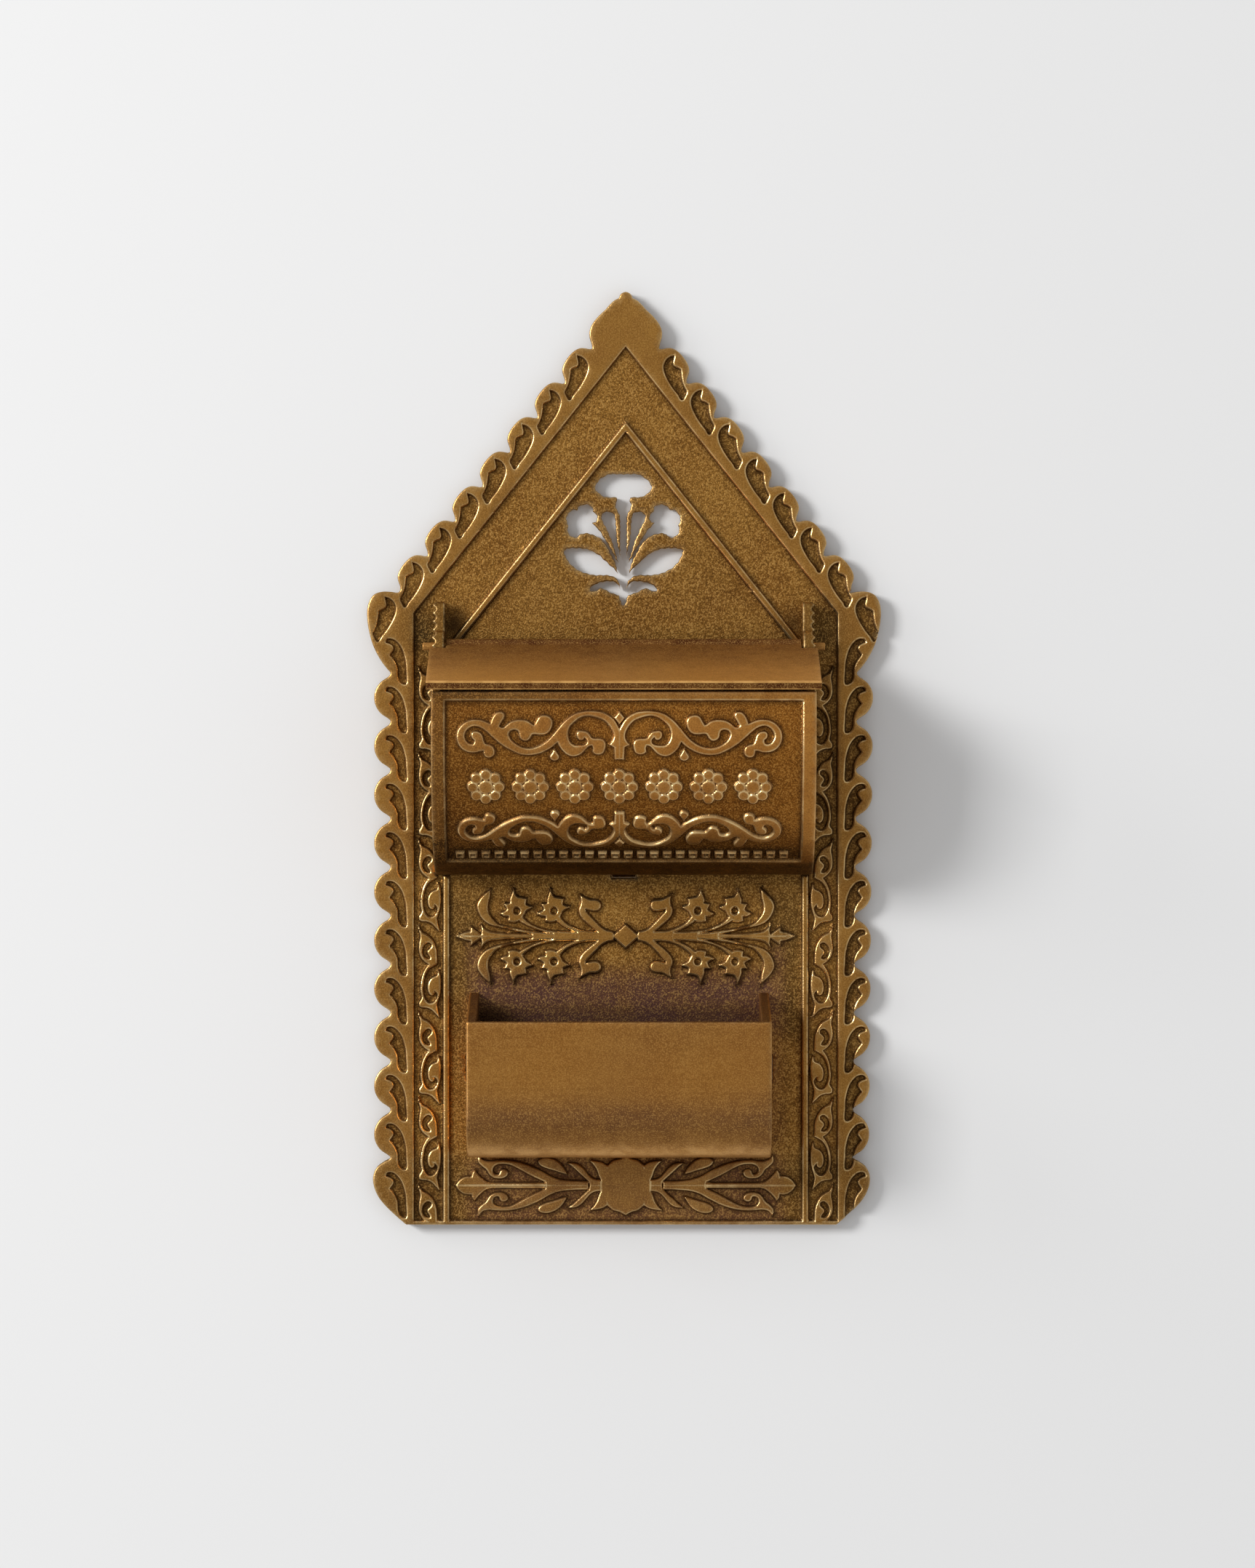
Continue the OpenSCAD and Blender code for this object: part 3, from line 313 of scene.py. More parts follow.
# Cast brass: colour that varies over centimetres, the fine bright and dark grains of sand
# casting, strongest on the ground, dark patina and painted shade where a wall meets the ground
# and over the tarnished and painted-shaded parts, more purple low on the holder, and bare
# bright edges that are worn metal and painted highlight.
def antiqueBrass(name, look, streak=None):
    material = bpy.data.materials.new(name)
    material.use_nodes = True
    tree = material.node_tree
    shader = tree.nodes["Principled BSDF"]
    place = tree.nodes.new("ShaderNodeTexCoord").outputs["Object"]
    rise, wearAndHighlight, grimeAndShade, tarnishAndShade = [mark(tree, label) for label in ("rise", "wearAndHighlight", "grimeAndShade", "tarnishAndShade")]
    mottle = noise(tree, place, 48, 4.0, 0.6)
    cloud = noise(tree, place, 260, 3.0, 0.6)
    fine = noise(tree, place, look["grain"], 2.0, 0.6)
    coarse = noise(tree, place, 0.5 * look["grain"], 1.0, 0.5)
    grain = calculate(tree, "ADD", calculate(tree, "MULTIPLY", fine, 0.8), calculate(tree, "MULTIPLY", coarse, 0.2))
    tone = calculate(tree, "ADD", calculate(tree, "MULTIPLY", mottle, 0.6), calculate(tree, "MULTIPLY", cloud, 0.4))
    tone = between(tree, tone, 0.28, 0.72)
    face = mixColour(tree, tone, look["faceDark"], look["face"])
    if streak:
        lines = noise(tree, place, 1400, 3.0, 0.6, streak)
        face = mixColour(tree, between(tree, lines, 0.4, 0.7, 0.0, 0.35), face, look["faceDark"])
    ground = mixColour(tree, tone, look["groundDark"], look["ground"])
    light, dim = between(tree, grain, 0.5, 0.62), between(tree, grain, 0.36, 0.5, 1.0, 0.0)
    ground = mixColour(tree, calculate(tree, "MULTIPLY", light, 0.42), ground, look["speck"])
    ground = mixColour(tree, calculate(tree, "MULTIPLY", dim, 0.48), ground, look["patina"])
    face = mixColour(tree, calculate(tree, "MULTIPLY", light, 0.16), face, look["speck"])
    face = mixColour(tree, calculate(tree, "MULTIPLY", dim, 0.22), face, look["patina"])
    colour = mixColour(tree, between(tree, rise, 0.15, 0.6), ground, face)
    dark = calculate(tree, "MULTIPLY", tarnishAndShade, between(tree, cloud, 0.3, 0.62, 1.0, 0.82))
    parts = tree.nodes.new("ShaderNodeSeparateXYZ")
    tree.links.new(place, parts.inputs[0])
    beside = between(tree, calculate(tree, "ABSOLUTE", parts.outputs["X"]), 0.031, 0.036)
    brown = calculate(tree, "MAXIMUM", between(tree, parts.outputs["Z"], -0.046, -0.034), beside)
    dullAndShaded = mixColour(tree, brown, look["lowTarnishAndShade"], look["tarnishAndShade"])
    dullAndShaded = mixColour(tree, calculate(tree, "MULTIPLY", light, 0.32), dullAndShaded, look["speck"])
    colour = mixColour(tree, dark, colour, dullAndShaded)
    colour = mixColour(tree, calculate(tree, "MULTIPLY", grimeAndShade, 0.75), colour, look["patina"])
    clean = calculate(tree, "SUBTRACT", 1.0, calculate(tree, "MULTIPLY", dark, 0.75))
    rubbedAndHighlit = calculate(tree, "MULTIPLY", wearAndHighlight, clean)
    bareAndHighlit = calculate(tree, "MULTIPLY", rubbedAndHighlit, between(tree, cloud, 0.36, 0.64, 0.25, 0.65))
    colour = mixColour(tree, bareAndHighlit, colour, look["bright"])
    tree.links.new(colour, shader.inputs["Base Color"])
    shader.inputs["Metallic"].default_value = look["metallic"]
    shader.inputs["Specular Tint"].default_value = look["sheen"]
    rough = calculate(tree, "ADD", between(tree, tone, 0.0, 1.0, 0.46, 0.36), calculate(tree, "MULTIPLY", dark, 0.16))
    rough = calculate(tree, "SUBTRACT", rough, calculate(tree, "MULTIPLY", rubbedAndHighlit, 0.16))
    tree.links.new(rough, shader.inputs["Roughness"])
    bump = tree.nodes.new("ShaderNodeBump")
    bump.inputs["Strength"].default_value = 0.6
    bump.inputs["Distance"].default_value = look["bump"]
    height = calculate(tree, "MULTIPLY", grain, between(tree, rise, 0.3, 0.9, 1.6, 0.7))
    tree.links.new(height, bump.inputs["Height"])
    tree.links.new(bump.outputs["Normal"], shader.inputs["Normal"])
    return material


castBrass = antiqueBrass("castBrass", brassLook)
copperBrass = antiqueBrass("copperBrass", copperLook)
lidBrass = antiqueBrass("lidBrass", lidLook, (0.04, 1.0, 1.0))
trayBrass = antiqueBrass("trayBrass", trayLook, (0.05, 1.0, 1.0))
print("materials made")


plate = {
    "ground": 2.0, "relief": 1.0, "wall": 0.2, "spacing": 0.45, "rim": 0.35,
    "half": 100.0, "finialHalf": 7.15, "finialHeight": 12.15, "trimTop": 0.7, "trimFoot": 1.9,
    "gableCount": 7, "gableStep": (5.88, -7.4), "cornerOut": 2.1, "cornerHeight": 17.75,
    "sideCount": 10, "sidePitch": 10.4, "sideOut": 3.5, "footHeight": 14.3,
    "fieldHalf": 45.4, "apexDrop": 11.8, "lip": 0.8, "chevronDrop": 27.9, "chevronWide": 1.35,
    "ribX": 39.1, "ribWide": 1.3, "vineZ": 19.7, "vinePitch": 18.49, "vineCount": 7,
    "sprayZ": -38.15, "footBandZ": -91.6, "flowerX": -0.5, "flowerZ": 32.8,
}
finialKnots = [[0, 0], [0.13, -0.03], [0.18, -0.07, 1], [0.2, -0.11, 1], [0.35, -0.155], [0.5, -0.24],
               [0.6, -0.31, 1], [0.73, -0.38], [0.84, -0.445], [0.965, -0.535], [1.05, -0.625],
               [1.09, -0.72], [1.08, -0.81], [1.03, -0.9], [1, -1, 1]]
gableKnots = [[0.09, -0.02], [0.255, 0.005], [0.425, 0.01], [0.6, -0.04], [0.75, -0.135],
              [0.885, -0.255], [1, -0.39], [1.08, -0.53], [1.1, -0.65], [1.055, -0.785],
              [1.01, -0.89], [1, -1, 1]]
cornerKnots = [[-1.65, -0.03], [0, -0.02], [1.85, -0.02], [3.55, -0.055], [4.55, -0.135], [5, -0.24],
               [4.95, -0.37], [4.55, -0.51], [3.85, -0.65], [2.85, -0.775], [1.65, -0.885],
               [0.6, -0.96], [0, -1]]
sideKnots = [[0.1, -0.07], [0.34, -0.125], [0.6, -0.19], [0.83, -0.29], [0.96, -0.395], [1, -0.5],
             [0.96, -0.625], [0.8, -0.75], [0.57, -0.845], [0.31, -0.905], [0.11, -0.95], [0, -1]]
footKnots = [[1.2, -0.05], [2.9, -0.14], [3.7, -0.27], [3.6, -0.41], [2.7, -0.57], [1.3, -0.7],
             [-0.8, -0.845], [-3, -0.98, 1], [-3.4, -1, 1]]
gableLeaf = [[3.3, -1.5, 1], [2.4, -1.75], [1.6, -2.4], [1.1, -3.3], [1, -4.3], [1.3, -5.5], [2, -7],
             [3, -8.6], [4.1, -10], [4.9, -11.1], [5.5, -10.3], [5.9, -9.3], [5.5, -8.5], [5.05, -7.4],
             [4.8, -6.2], [4.65, -4.5, 1], [4, -4.1], [3.2, -3.8], [2.95, -3.2], [3.1, -2.3]]
sideLeaf = [[1, -3.9, 1], [0.7, -3.2], [0, -3.05], [-0.8, -3.3], [-1.7, -4.1], [-2.4, -5.2],
            [-2.9, -6.6], [-3.25, -8.3], [-3.35, -10.2], [-3.45, -12], [-3.3, -12.85], [-2.6, -12.8],
            [-1.9, -12.2], [-1.6, -11.2], [-1.5, -9.4], [-0.95, -8], [-0.2, -7], [0.15, -6.6, 1],
            [-0.3, -6], [-0.7, -5.3], [-0.55, -4.7], [-0.1, -4.3], [0.5, -4.05]]
vineTurn = [[44.5, 0, 1], [44, -0.9], [43.5, -1.6], [42.7, -2], [41.8, -2.7], [41, -4], [40.55, -5.5],
            [40.45, -7], [40.4, -8.4, 1], [41.2, -8.8], [42.1, -9.4], [42.9, -10.6], [43.35, -12.2],
            [43.45, -14], [43.1, -15.6], [42.3, -16.65], [41.5, -16.7], [40.8, -16.1], [40.4, -15.3],
            [40.45, -14.7], [40.9, -14.1, 1], [41, -14.7], [41.6, -15.1], [42.2, -14.6],
            [42.45, -13.4], [42.25, -12.2], [41.6, -11.3], [40.7, -10.9], [40.35, -10.6],
            [40.15, -9.5, 1], [39.75, -11], [39.65, -13], [39.8, -14.8], [40.2, -16.2],
            [40.45, -17.1, 1], [40.25, -18.3], [39.95, -19.8, 1], [40.8, -19], [41.6, -18.2],
            [42.7, -17.75], [43.7, -17.7], [44.3, -17.4, 1], [44.3, -16.6], [43.75, -15.7],
            [44, -14.3], [43.95, -12.5], [43.6, -10.8], [43, -9.4], [42.3, -8.4, 1], [43.2, -7.8],
            [44, -6.8], [44.35, -5.5], [44.3, -4], [44.05, -2.5], [44.3, -1.3]]
vineEye = [[41.7, -4.1, 1], [42.3, -3.75], [43, -4.1], [43.55, -5], [43.6, -6], [43.2, -6.9],
           [42.5, -7.3], [41.9, -7.2, 1], [42.05, -6.7], [42.5, -6.1], [42.5, -5.5], [42, -5], [41.7, -4.7]]
sprayLozenge = [[0, 2.65, 1], [2.95, 0, 1], [0, -2.65, 1], [-2.95, 0, 1]]
sprayParts = [
    [[2.4, -0.3, 1], [2.6, 0.95, 1], [4.2, 1.35], [5.3, 2.05], [6.3, 3.05], [7.4, 4.2], [8.5, 5.4],
     [8.6, 5.8, 1], [7.6, 5.5], [6.6, 5.35], [5.75, 5.6], [5.3, 6.4], [5.5, 7.4], [6.3, 7.8],
     [7.7, 7.9], [8.8, 8.4], [9.9, 9, 1], [9.6, 7.9], [9.65, 6.9], [10.05, 5.8], [9.9, 4.7],
     [9.2, 3.6], [7.9, 2.4], [6.1, 1, 1], [6.1, -0.3, 1]],
    [[5.5, -0.3, 1], [5.6, 0.95, 1], [9, 1.2], [11.2, 1.95], [12.8, 2.85], [14.3, 4.5, 1],
     [15.4, 3.7, 1], [13.5, 2.25], [11.8, 1.35], [10.4, 0.85, 1], [10.2, -0.3, 1]],
    [[9.8, -0.3, 1], [9.9, 0.85, 1], [13.5, 1], [16.5, 1.25], [18.8, 1.9], [20.6, 2.8],
     [22.4, 4.4, 1], [23.4, 3.7, 1], [21.3, 2.4], [19.4, 1.6], [17.5, 1], [15.6, 0.6, 1], [15.4, -0.3, 1]],
    [[15, -0.3, 1], [15.1, 0.6, 1], [18.5, 0.85], [22, 1.35], [25.5, 2], [27.4, 2.7], [28.6, 3.9],
     [29.4, 5.2], [29.5, 6.6], [29.1, 8.4], [28.95, 10.2, 1], [30, 9.3], [31.1, 8.1], [31.85, 6.6],
     [31.6, 5.2], [30.9, 3.9], [29.8, 2.9], [28.2, 2.2], [25.5, 1.65], [22.5, 0.9], [20.1, 0.5, 1],
     [19.8, -0.3, 1]],
    [[19.4, -0.3, 1], [19.5, 0.4, 1], [25, 0.5], [28, 0.8], [29.4, 1.05], [30.4, 1.75], [31.15, 2.7, 1],
     [30.85, 1.5], [31, 0.35, 1], [31.8, 1], [32.5, 1.5], [33.25, 2.1, 1], [33.2, 1.05, 1],
     [34.5, 0.8], [36.3, 0, 1], [30, -0.2, 1]],
]
sprayFlower = [[0.65, 4.8, 1], [0.3, 3.6], [-0.2, 3, 1], [-0.9, 2.9], [-2.15, 2.65, 1], [-1.95, 1.8],
               [-2, 1.35, 1], [-3.45, 0.8, 1], [-1.9, -0.2, 1], [-1.6, -0.9], [-0.9, -1.7],
               [-0.3, -2.3], [0.8, -2.5], [1.9, -2.2, 1], [1.7, -1.2, 1], [2.6, -1.2], [3.6, -0.6, 1],
               [2.1, 0.3, 1], [2.75, 1.5, 1], [1.4, 1.7, 1], [1.5, 2.4], [1.1, 3.6]]
sprayFlowerPlaces = [(15.4, 5.45), (23.35, 5.45)]
footParts = [
    [[36.5, -0.1, 1], [36.5, 0, 1], [35.9, 0.9], [34.9, 1.7], [33.9, 1.95], [33, 1.9, 1], [32.9, 2.7],
     [32.35, 3.3, 1], [31.7, 2.4], [30.8, 1.5], [29.8, 0.8], [28.8, 0.55, 1], [16.8, 0.55, 1],
     [16.8, -0.1, 1]],
    [[17.3, 0.75, 1], [19, 1.5], [21, 2.5], [23, 3.6], [24.8, 4.4], [26.5, 4.6], [27.7, 4.4],
     [28.4, 3.7], [28.4, 2.9], [27.9, 2.4], [27.2, 2.4], [27, 2.9], [26.6, 3.4], [25.8, 3.4],
     [25.2, 2.9], [25.4, 2.1], [26.2, 1.6], [27.3, 1.5], [28.4, 1.7], [29.3, 2.4], [29.9, 3.4],
     [30.9, 4.2], [31.7, 5.2], [31.5, 6.5, 1], [30.6, 5.5], [29.3, 5.2], [27.3, 5.35], [25.3, 5.35],
     [23, 5], [20.5, 4.2], [18, 3], [16, 1.9], [14, 1.25], [11, 0.95], [8, 0.85, 1], [8, -0.2, 1],
     [17, -0.2, 1]],
    [[18.8, 5], [18.3, 4.3], [17, 3.7], [15.3, 3.2], [13.8, 2.7], [12.5, 2.35, 1], [13, 3.3],
     [13.8, 4.4], [14.9, 5.3], [16.3, 5.85], [17.7, 5.9], [18.6, 5.5]],
    [[12.4, 4.8, 1], [11.5, 4.1], [10.2, 2.9], [9, 1.8], [7.9, 0.8, 1], [7.7, -0.2, 1], [5.2, -0.2, 1],
     [5.2, 1.15, 1], [6.6, 1.35], [7.6, 1.9], [8.5, 2.9], [9.5, 4], [10.8, 4.7]],
    [[7.8, 5.35, 1], [6.9, 4.4], [6.2, 3.3], [5.8, 2.1], [5.3, 1.1, 1], [3.6, 1, 1], [3.8, 4.2, 1],
     [5, 4.9], [6.4, 5.2]],
]
footHeart = [[0, 6.4, 1], [1.3, 5.7], [2.7, 5.3], [3.9, 4.3, 1], [5.4, 1.2, 1], [5.4, 0, 1],
             [5.4, -1.2, 1], [3.9, -4.3, 1], [2.7, -5.3], [1.3, -5.7], [0, -6.4, 1]]
flowerKnots = [[0, 0], [0.4, 0.4], [0.7, 1.2], [1, 2.1], [1.7, 2.4], [2.9, 2.8], [4, 3.4], [4.8, 3.7],
               [5.6, 3.3], [6.5, 3], [7.2, 3.2], [7, 3.8], [6.1, 4.5], [4.6, 5], [3, 5.2], [1.8, 5],
               [1, 4.3], [0.7, 3.4, 1], [1, 5.1], [1.7, 5.9], [2.8, 6.4], [4.2, 6.5], [6, 6.5],
               [7.8, 6.8], [9.4, 7.4], [10.9, 8.4], [11.9, 9.6], [12.6, 10.9], [12.8, 11.7, 1],
               [11.9, 12.2], [10, 12.3], [8, 12.1], [6.4, 11.5], [5.1, 10.7], [3.9, 9.6], [2.7, 8.5],
               [1.8, 7.7], [1.2, 6.9, 1], [1.7, 8.9], [2.5, 10.6], [3.5, 12.5], [4.6, 14],
               [5.9, 14.9], [7, 15.3], [8.1, 15.5], [9.2, 15.3, 1], [9.8, 14.7], [10.7, 14.6],
               [11.6, 15.2], [12, 16.3], [11.8, 17.2, 1], [12.1, 17.8], [12.2, 18.8], [11.7, 19.9],
               [10.8, 20.5], [9.9, 20.5, 1], [9.5, 21.2], [8.6, 21.6], [7.5, 21.6], [6.7, 21.1],
               [6.5, 20.1, 1], [5.8, 19.6], [5.6, 18.7], [6, 17.9], [6.7, 17.7, 1], [6, 17],
               [5.1, 16], [4.1, 14.4], [3, 12.7], [2.1, 11], [1.05, 9.1, 1], [1.9, 11.9], [2.6, 14.2],
               [3.15, 15.3], [3.7, 16.6], [4.4, 18], [4.7, 19.2], [4.2, 19.9], [3.3, 20.1],
               [2.4, 19.9], [1.9, 19.3], [1.65, 17.3], [1.55, 15.5], [1.35, 13.7], [0.95, 11.9],
               [0.7, 10.4, 1], [0.7, 13.2], [0.7, 17.2], [0.8, 19.2], [1.1, 20], [1.6, 21],
               [1.65, 21.8], [1.35, 22.6], [1.5, 23.2, 1], [2.8, 23.2], [4, 23.3], [4.9, 23.8],
               [5.7, 24.5], [6.1, 25.4], [5.7, 26.3, 1], [5, 27.1], [4.1, 27.7, 1], [3, 28.2],
               [1.5, 28.2], [0, 28.2]]

ledge = plate["half"] - plate["finialHeight"]
stepX, stepZ = plate["gableStep"]
gableFoot = (plate["finialHalf"] + plate["gableCount"] * stepX, ledge + plate["gableCount"] * stepZ)
notchX = gableFoot[0] + plate["cornerOut"]
sideTop = gableFoot[1] - plate["cornerHeight"]
slope = -stepZ / stepX
rightEdge = placeKnots(finialKnots, 0, plate["half"], plate["finialHalf"], plate["finialHeight"])
for turn in range(plate["gableCount"]):
    rightEdge += placeKnots(gableKnots, plate["finialHalf"] + turn * stepX, ledge + turn * stepZ, stepX, -stepZ)
rightEdge += placeKnots(cornerKnots, notchX, gableFoot[1], 1, plate["cornerHeight"])
for turn in range(plate["sideCount"]):
    rightEdge += placeKnots(sideKnots, notchX, sideTop - turn * plate["sidePitch"], plate["sideOut"], plate["sidePitch"])
rightEdge += placeKnots(footKnots, notchX, sideTop - plate["sideCount"] * plate["sidePitch"], 1, plate["footHeight"])
rightEdge += [[0, -plate["half"], 1]]
trimmedEdge = []
for knot in rightEdge:
    down = (gableFoot[1] - knot[1]) / (gableFoot[1] + plate["half"])
    trim = plate["trimTop"] + (plate["trimFoot"] - plate["trimTop"]) * down if down > 0 and knot[0] > 0 else 0
    trimmedEdge.append([knot[0] - trim] + list(knot[1:]))
plateOutline = drawCurve(trimmedEdge + wholeKnots(rightEdge)[len(rightEdge):], 0.5)
flowerHole = drawCurve(placeKnots(wholeKnots(flowerKnots), plate["flowerX"], plate["flowerZ"]), 0.4)
flowerHole = flowerHole + 0.07 * np.sin(flowerHole[:, ::-1] * [5.1, 4.3])

# the places where the box and the tray stand, as in the frame: walls, tabs and gaps
box = {"x": -0.4, "wide": 80.4, "deep": 36.0, "bottom": -24.9, "top": 13.8, "round": 30.0, "thick": 2.4, "relief": 0.8,
       "cheek": 2.0, "frameSide": 2.9, "frameTop": 1.9, "panelRun": 40.6, "tabZ": -4.0}
tray = {"x": -1.4, "wide": 64.2, "deep": 27.0, "bottom": -84.6, "top": -55.5, "cheekTop": -50.3, "round": 9.0,
        "thick": 2.1, "tabZ": -66.4}
tab = {"long": 5.0, "inset": 0.3, "gap": 0.15, "extra": 0.6}
hinge = {"out": 9.0, "z": 23.8, "rod": 0.85, "barrel": 1.6, "ear": 3.4, "earTop": 33.4, "earOut": 7.0, "rodOut": 2.7}
lidSize = {"thick": 1.8, "lift": 0.9, "side": 1.05, "front": 1.2, "gap": 0.15, "frontGap": 0.55, "earGap": 0.5,
           "barrelGap": 0.3}

g = tab["gap"]
slotLoops = []
for side in (-1, 1):
    middle = box["x"] + side * (box["wide"] - box["cheek"]) / 2
    slotLoops.append(rectangle(middle - box["cheek"] / 2 - g, box["tabZ"] - tab["long"] / 2 - g,
                               middle + box["cheek"] / 2 + g, box["tabZ"] + tab["long"] / 2 + g))
    middle = tray["x"] + side * (tray["wide"] - tray["thick"] + tab["extra"]) / 2
    half = (tray["thick"] + tab["extra"]) / 2 + g
    slotLoops.append(rectangle(middle - half, tray["tabZ"] - tab["long"] / 2 - g,
                               middle + half, tray["tabZ"] + tab["long"] / 2 + g))
slotLoops.append(rectangle(box["x"] - tab["long"] / 2 - g, box["bottom"] - tab["extra"] - g,
                           box["x"] + tab["long"] / 2 + g, box["bottom"] + box["thick"] + g))
seatLoops = [rectangle(box["x"] + side * (box["wide"] - box["cheek"]) / 2 - box["cheek"] / 2 - g, box["bottom"] - g,
                       box["x"] + side * (box["wide"] - box["cheek"]) / 2 + box["cheek"] / 2 + g, hinge["earTop"] + g)
             for side in (-1, 1)]
seatLoops.append(rectangle(box["x"] - box["wide"] / 2 - g, box["bottom"] - g, box["x"] + box["wide"] / 2 + g,
                           box["bottom"] + box["thick"] + g))

fieldTop = plate["half"] - plate["apexDrop"]
fieldDrop = plate["fieldHalf"] * slope
fieldLoop = drawCurve([[0, fieldTop, 1], [plate["fieldHalf"], fieldTop - fieldDrop, 1],
                       [plate["fieldHalf"], -plate["half"] + plate["lip"], 1],
                       [-plate["fieldHalf"], -plate["half"] + plate["lip"], 1],
                       [-plate["fieldHalf"], fieldTop - fieldDrop, 1]], 0.5)
ribApex, ribFoot = plate["half"] - plate["chevronDrop"], -plate["half"] + plate["lip"] - 0.5
ribInner = plate["ribX"] - plate["ribWide"]
ribLower = ribApex - plate["chevronWide"] / math.cos(math.atan(slope))
ribLoop = drawCurve([[0, ribApex, 1], [plate["ribX"], ribApex - plate["ribX"] * slope, 1], [plate["ribX"], ribFoot, 1],
                     [ribInner, ribFoot, 1], [ribInner, ribLower - ribInner * slope, 1], [0, ribLower, 1],
                     [-ribInner, ribLower - ribInner * slope, 1], [-ribInner, ribFoot, 1], [-plate["ribX"], ribFoot, 1],
                     [-plate["ribX"], ribApex - plate["ribX"] * slope, 1]], 0.5)
spacing = plate["spacing"]
vineLoops, eyeLoops, leafLoops = [], [], []
for turn in range(plate["vineCount"]):
    tip = plate["vineZ"] - turn * plate["vinePitch"]
    vineLoops += bothSides([drawCurve(placeKnots(vineTurn, 0, tip), spacing)])
    eyeLoops += bothSides([drawCurve(placeKnots(vineEye, 0, tip), spacing)])
for turn in range(plate["gableCount"] + 1):
    leafLoops += bothSides([drawCurve(placeKnots(gableLeaf, plate["finialHalf"] + turn * stepX, ledge + turn * stepZ), spacing)])
for turn in range(-1, plate["sideCount"] + 1):
    leafLoops += bothSides([drawCurve(placeKnots(sideLeaf, notchX, sideTop - turn * plate["sidePitch"]), spacing)])
sprayLoops = [drawCurve(sprayLozenge, spacing)] + fourWays([drawCurve(part, spacing) for part in sprayParts])
circle = np.linspace(0, 2 * np.pi, 13)[:-1]
for x, z in sprayFlowerPlaces:
    sprayLoops += fourWays([drawCurve(placeKnots(sprayFlower, x, z), spacing)])
    eyeLoops += shift(fourWays([np.stack([x + 0.75 * np.cos(circle), z + 0.75 * np.sin(circle)], 1)]), 0, plate["sprayZ"])
sprayLoops = shift(sprayLoops, 0, plate["sprayZ"])
footLoops = [drawCurve(wholeKnots(footHeart), spacing)] + fourWays([drawCurve(part, spacing) for part in footParts])
footLoops = shift(footLoops, 0, plate["footBandZ"])
raisedLoops = [ribLoop] + vineLoops + sprayLoops + footLoops


# From how deep a point lies inside the sunk ground: a narrow shoulder, then a steep wall down to
# the ground. The shoulder is painted bright, as worn metal and as painted highlight, and patina
# with painted shade darkens the wall's foot and thins out over the next millimetre.
def carvedFace(sunk, size, swell, tarnishAndShade):
    fallen = np.interp(sunk, [-0.22, -0.13, -0.01, 0.17], [0.0, 0.05, 0.3, 1.0])
    height = size["ground"] + size["relief"] * (1 - fallen) + swell
    wearAndHighlight = 1.4 * np.exp(-((sunk + 0.11) / 0.13)**2)
    foot = np.maximum(sunk - 0.17, 0)
    grimeAndShade = (0.55 * np.exp(-(foot / 0.25)**2) + 0.4 * np.exp(-foot / 0.7)) * smoothStep(-0.04, 0.14, sunk)
    return height, {"rise": 1 - fallen, "wearAndHighlight": wearAndHighlight, "grimeAndShade": grimeAndShade, "tarnishAndShade": tarnishAndShade}


# How far a point lies inside a band, from 0 outside it to 1, over a soft edge
def band(value, low, high, soft):
    return smoothStep(low - soft, low + soft, value) * (1 - smoothStep(high - soft, high + soft, value))


# Tarnish of the plate with painted shade: dark around the ears, painted shade beside the box,
# under the box and under the lid, a painted shadow of the tray below it, tarnish with painted
# shade between the spray and the tray and beside the tray, and painted shade with patina all over inside it
def plateTarnishAndShade(x, z):
    fromBox, fromTray = np.abs(x - box["x"]), np.abs(x - tray["x"])
    spots = [
        1.0 * np.exp(-((fromBox - 43) / 4.5)**2 - ((z - 27) / 6.5)**2),
        0.6 * band(fromBox, 38, 46.5, 1.2) * band(z, -24, 22, 4),
        0.45 * np.exp(-((z - 22) / 4)**2) * (fromBox < 41),
        0.16 * smoothStep(0.3, 2.5, (ribLower - z) / slope - np.abs(x)) * (z > 24),
        0.5 * smoothStep(-82, -88, z),
        0.6 * np.exp(-(fromBox / 5.5)**2 - ((z - plate["footBandZ"]) / 7)**2),
        0.4 * np.exp(-((z + 25) / 4.5)**2) * band(fromBox, -1, 38, 3),
        0.75 * band(z, -60, -46, 4) * band(fromBox, -1, 34, 4),
        0.6 * band(z, -60, -28, 4) * band(fromBox, 31, 38, 2),
        0.22 * band(fromTray, 31, 37, 2) * band(z, -85, -50, 4),
        0.95 * band(fromTray, -1, 30.5, 0.6) * band(z, -84, -53.5, 1.5),
    ]
    return np.clip(np.max(spots, axis=0) * (1 + 0.15 * unevenness(x, z, 2.5)), 0, 1)


def plateFace(points):
    x, z = points.T
    raised = np.minimum(deepest(points, raisedLoops), -deepest(points, eyeLoops))
    sunk = np.minimum(depthInside(points, fieldLoop), -raised)
    inLeaf = deepest(points, leafLoops)
    sunk = np.maximum(sunk, inLeaf)
    sunk = np.maximum(sunk, deepest(points, seatLoops))
    tarnishAndShade = plateTarnishAndShade(x, z) * np.where(sunk > 0, 1, 0.55)
    # the sunk leaves of the border are darker towards the right
    tarnishAndShade = np.maximum(tarnishAndShade, (inLeaf > 0) * np.interp(x, [-30, 30], [0.22, 0.5]))
    height, marks = carvedFace(sunk, plate, 0.05 * unevenness(x, z, 6.0), tarnishAndShade)
    # painted shade with patina all over inside the tray, darkest in its left corner, and a painted shadow of the ears
    # on the plate, darker beside the left ear
    insideTray = band(np.abs(x - tray["x"]), -1, 30.5, 0.4) * band(z, -84, -53, 2)
    byEars = np.exp(-((np.abs(x - box["x"]) - 36.3) / 3.0)**2 - ((z - 28.5) / 3.8)**2) * np.where(x < 0, 1.25, 0.9)
    trayCorner = 0.6 * np.exp(-((x - tray["x"] + 30) / 7)**2)
    marks["grimeAndShade"] = np.maximum(marks["grimeAndShade"], (0.6 + trayCorner) * insideTray + byEars)
    return height, marks


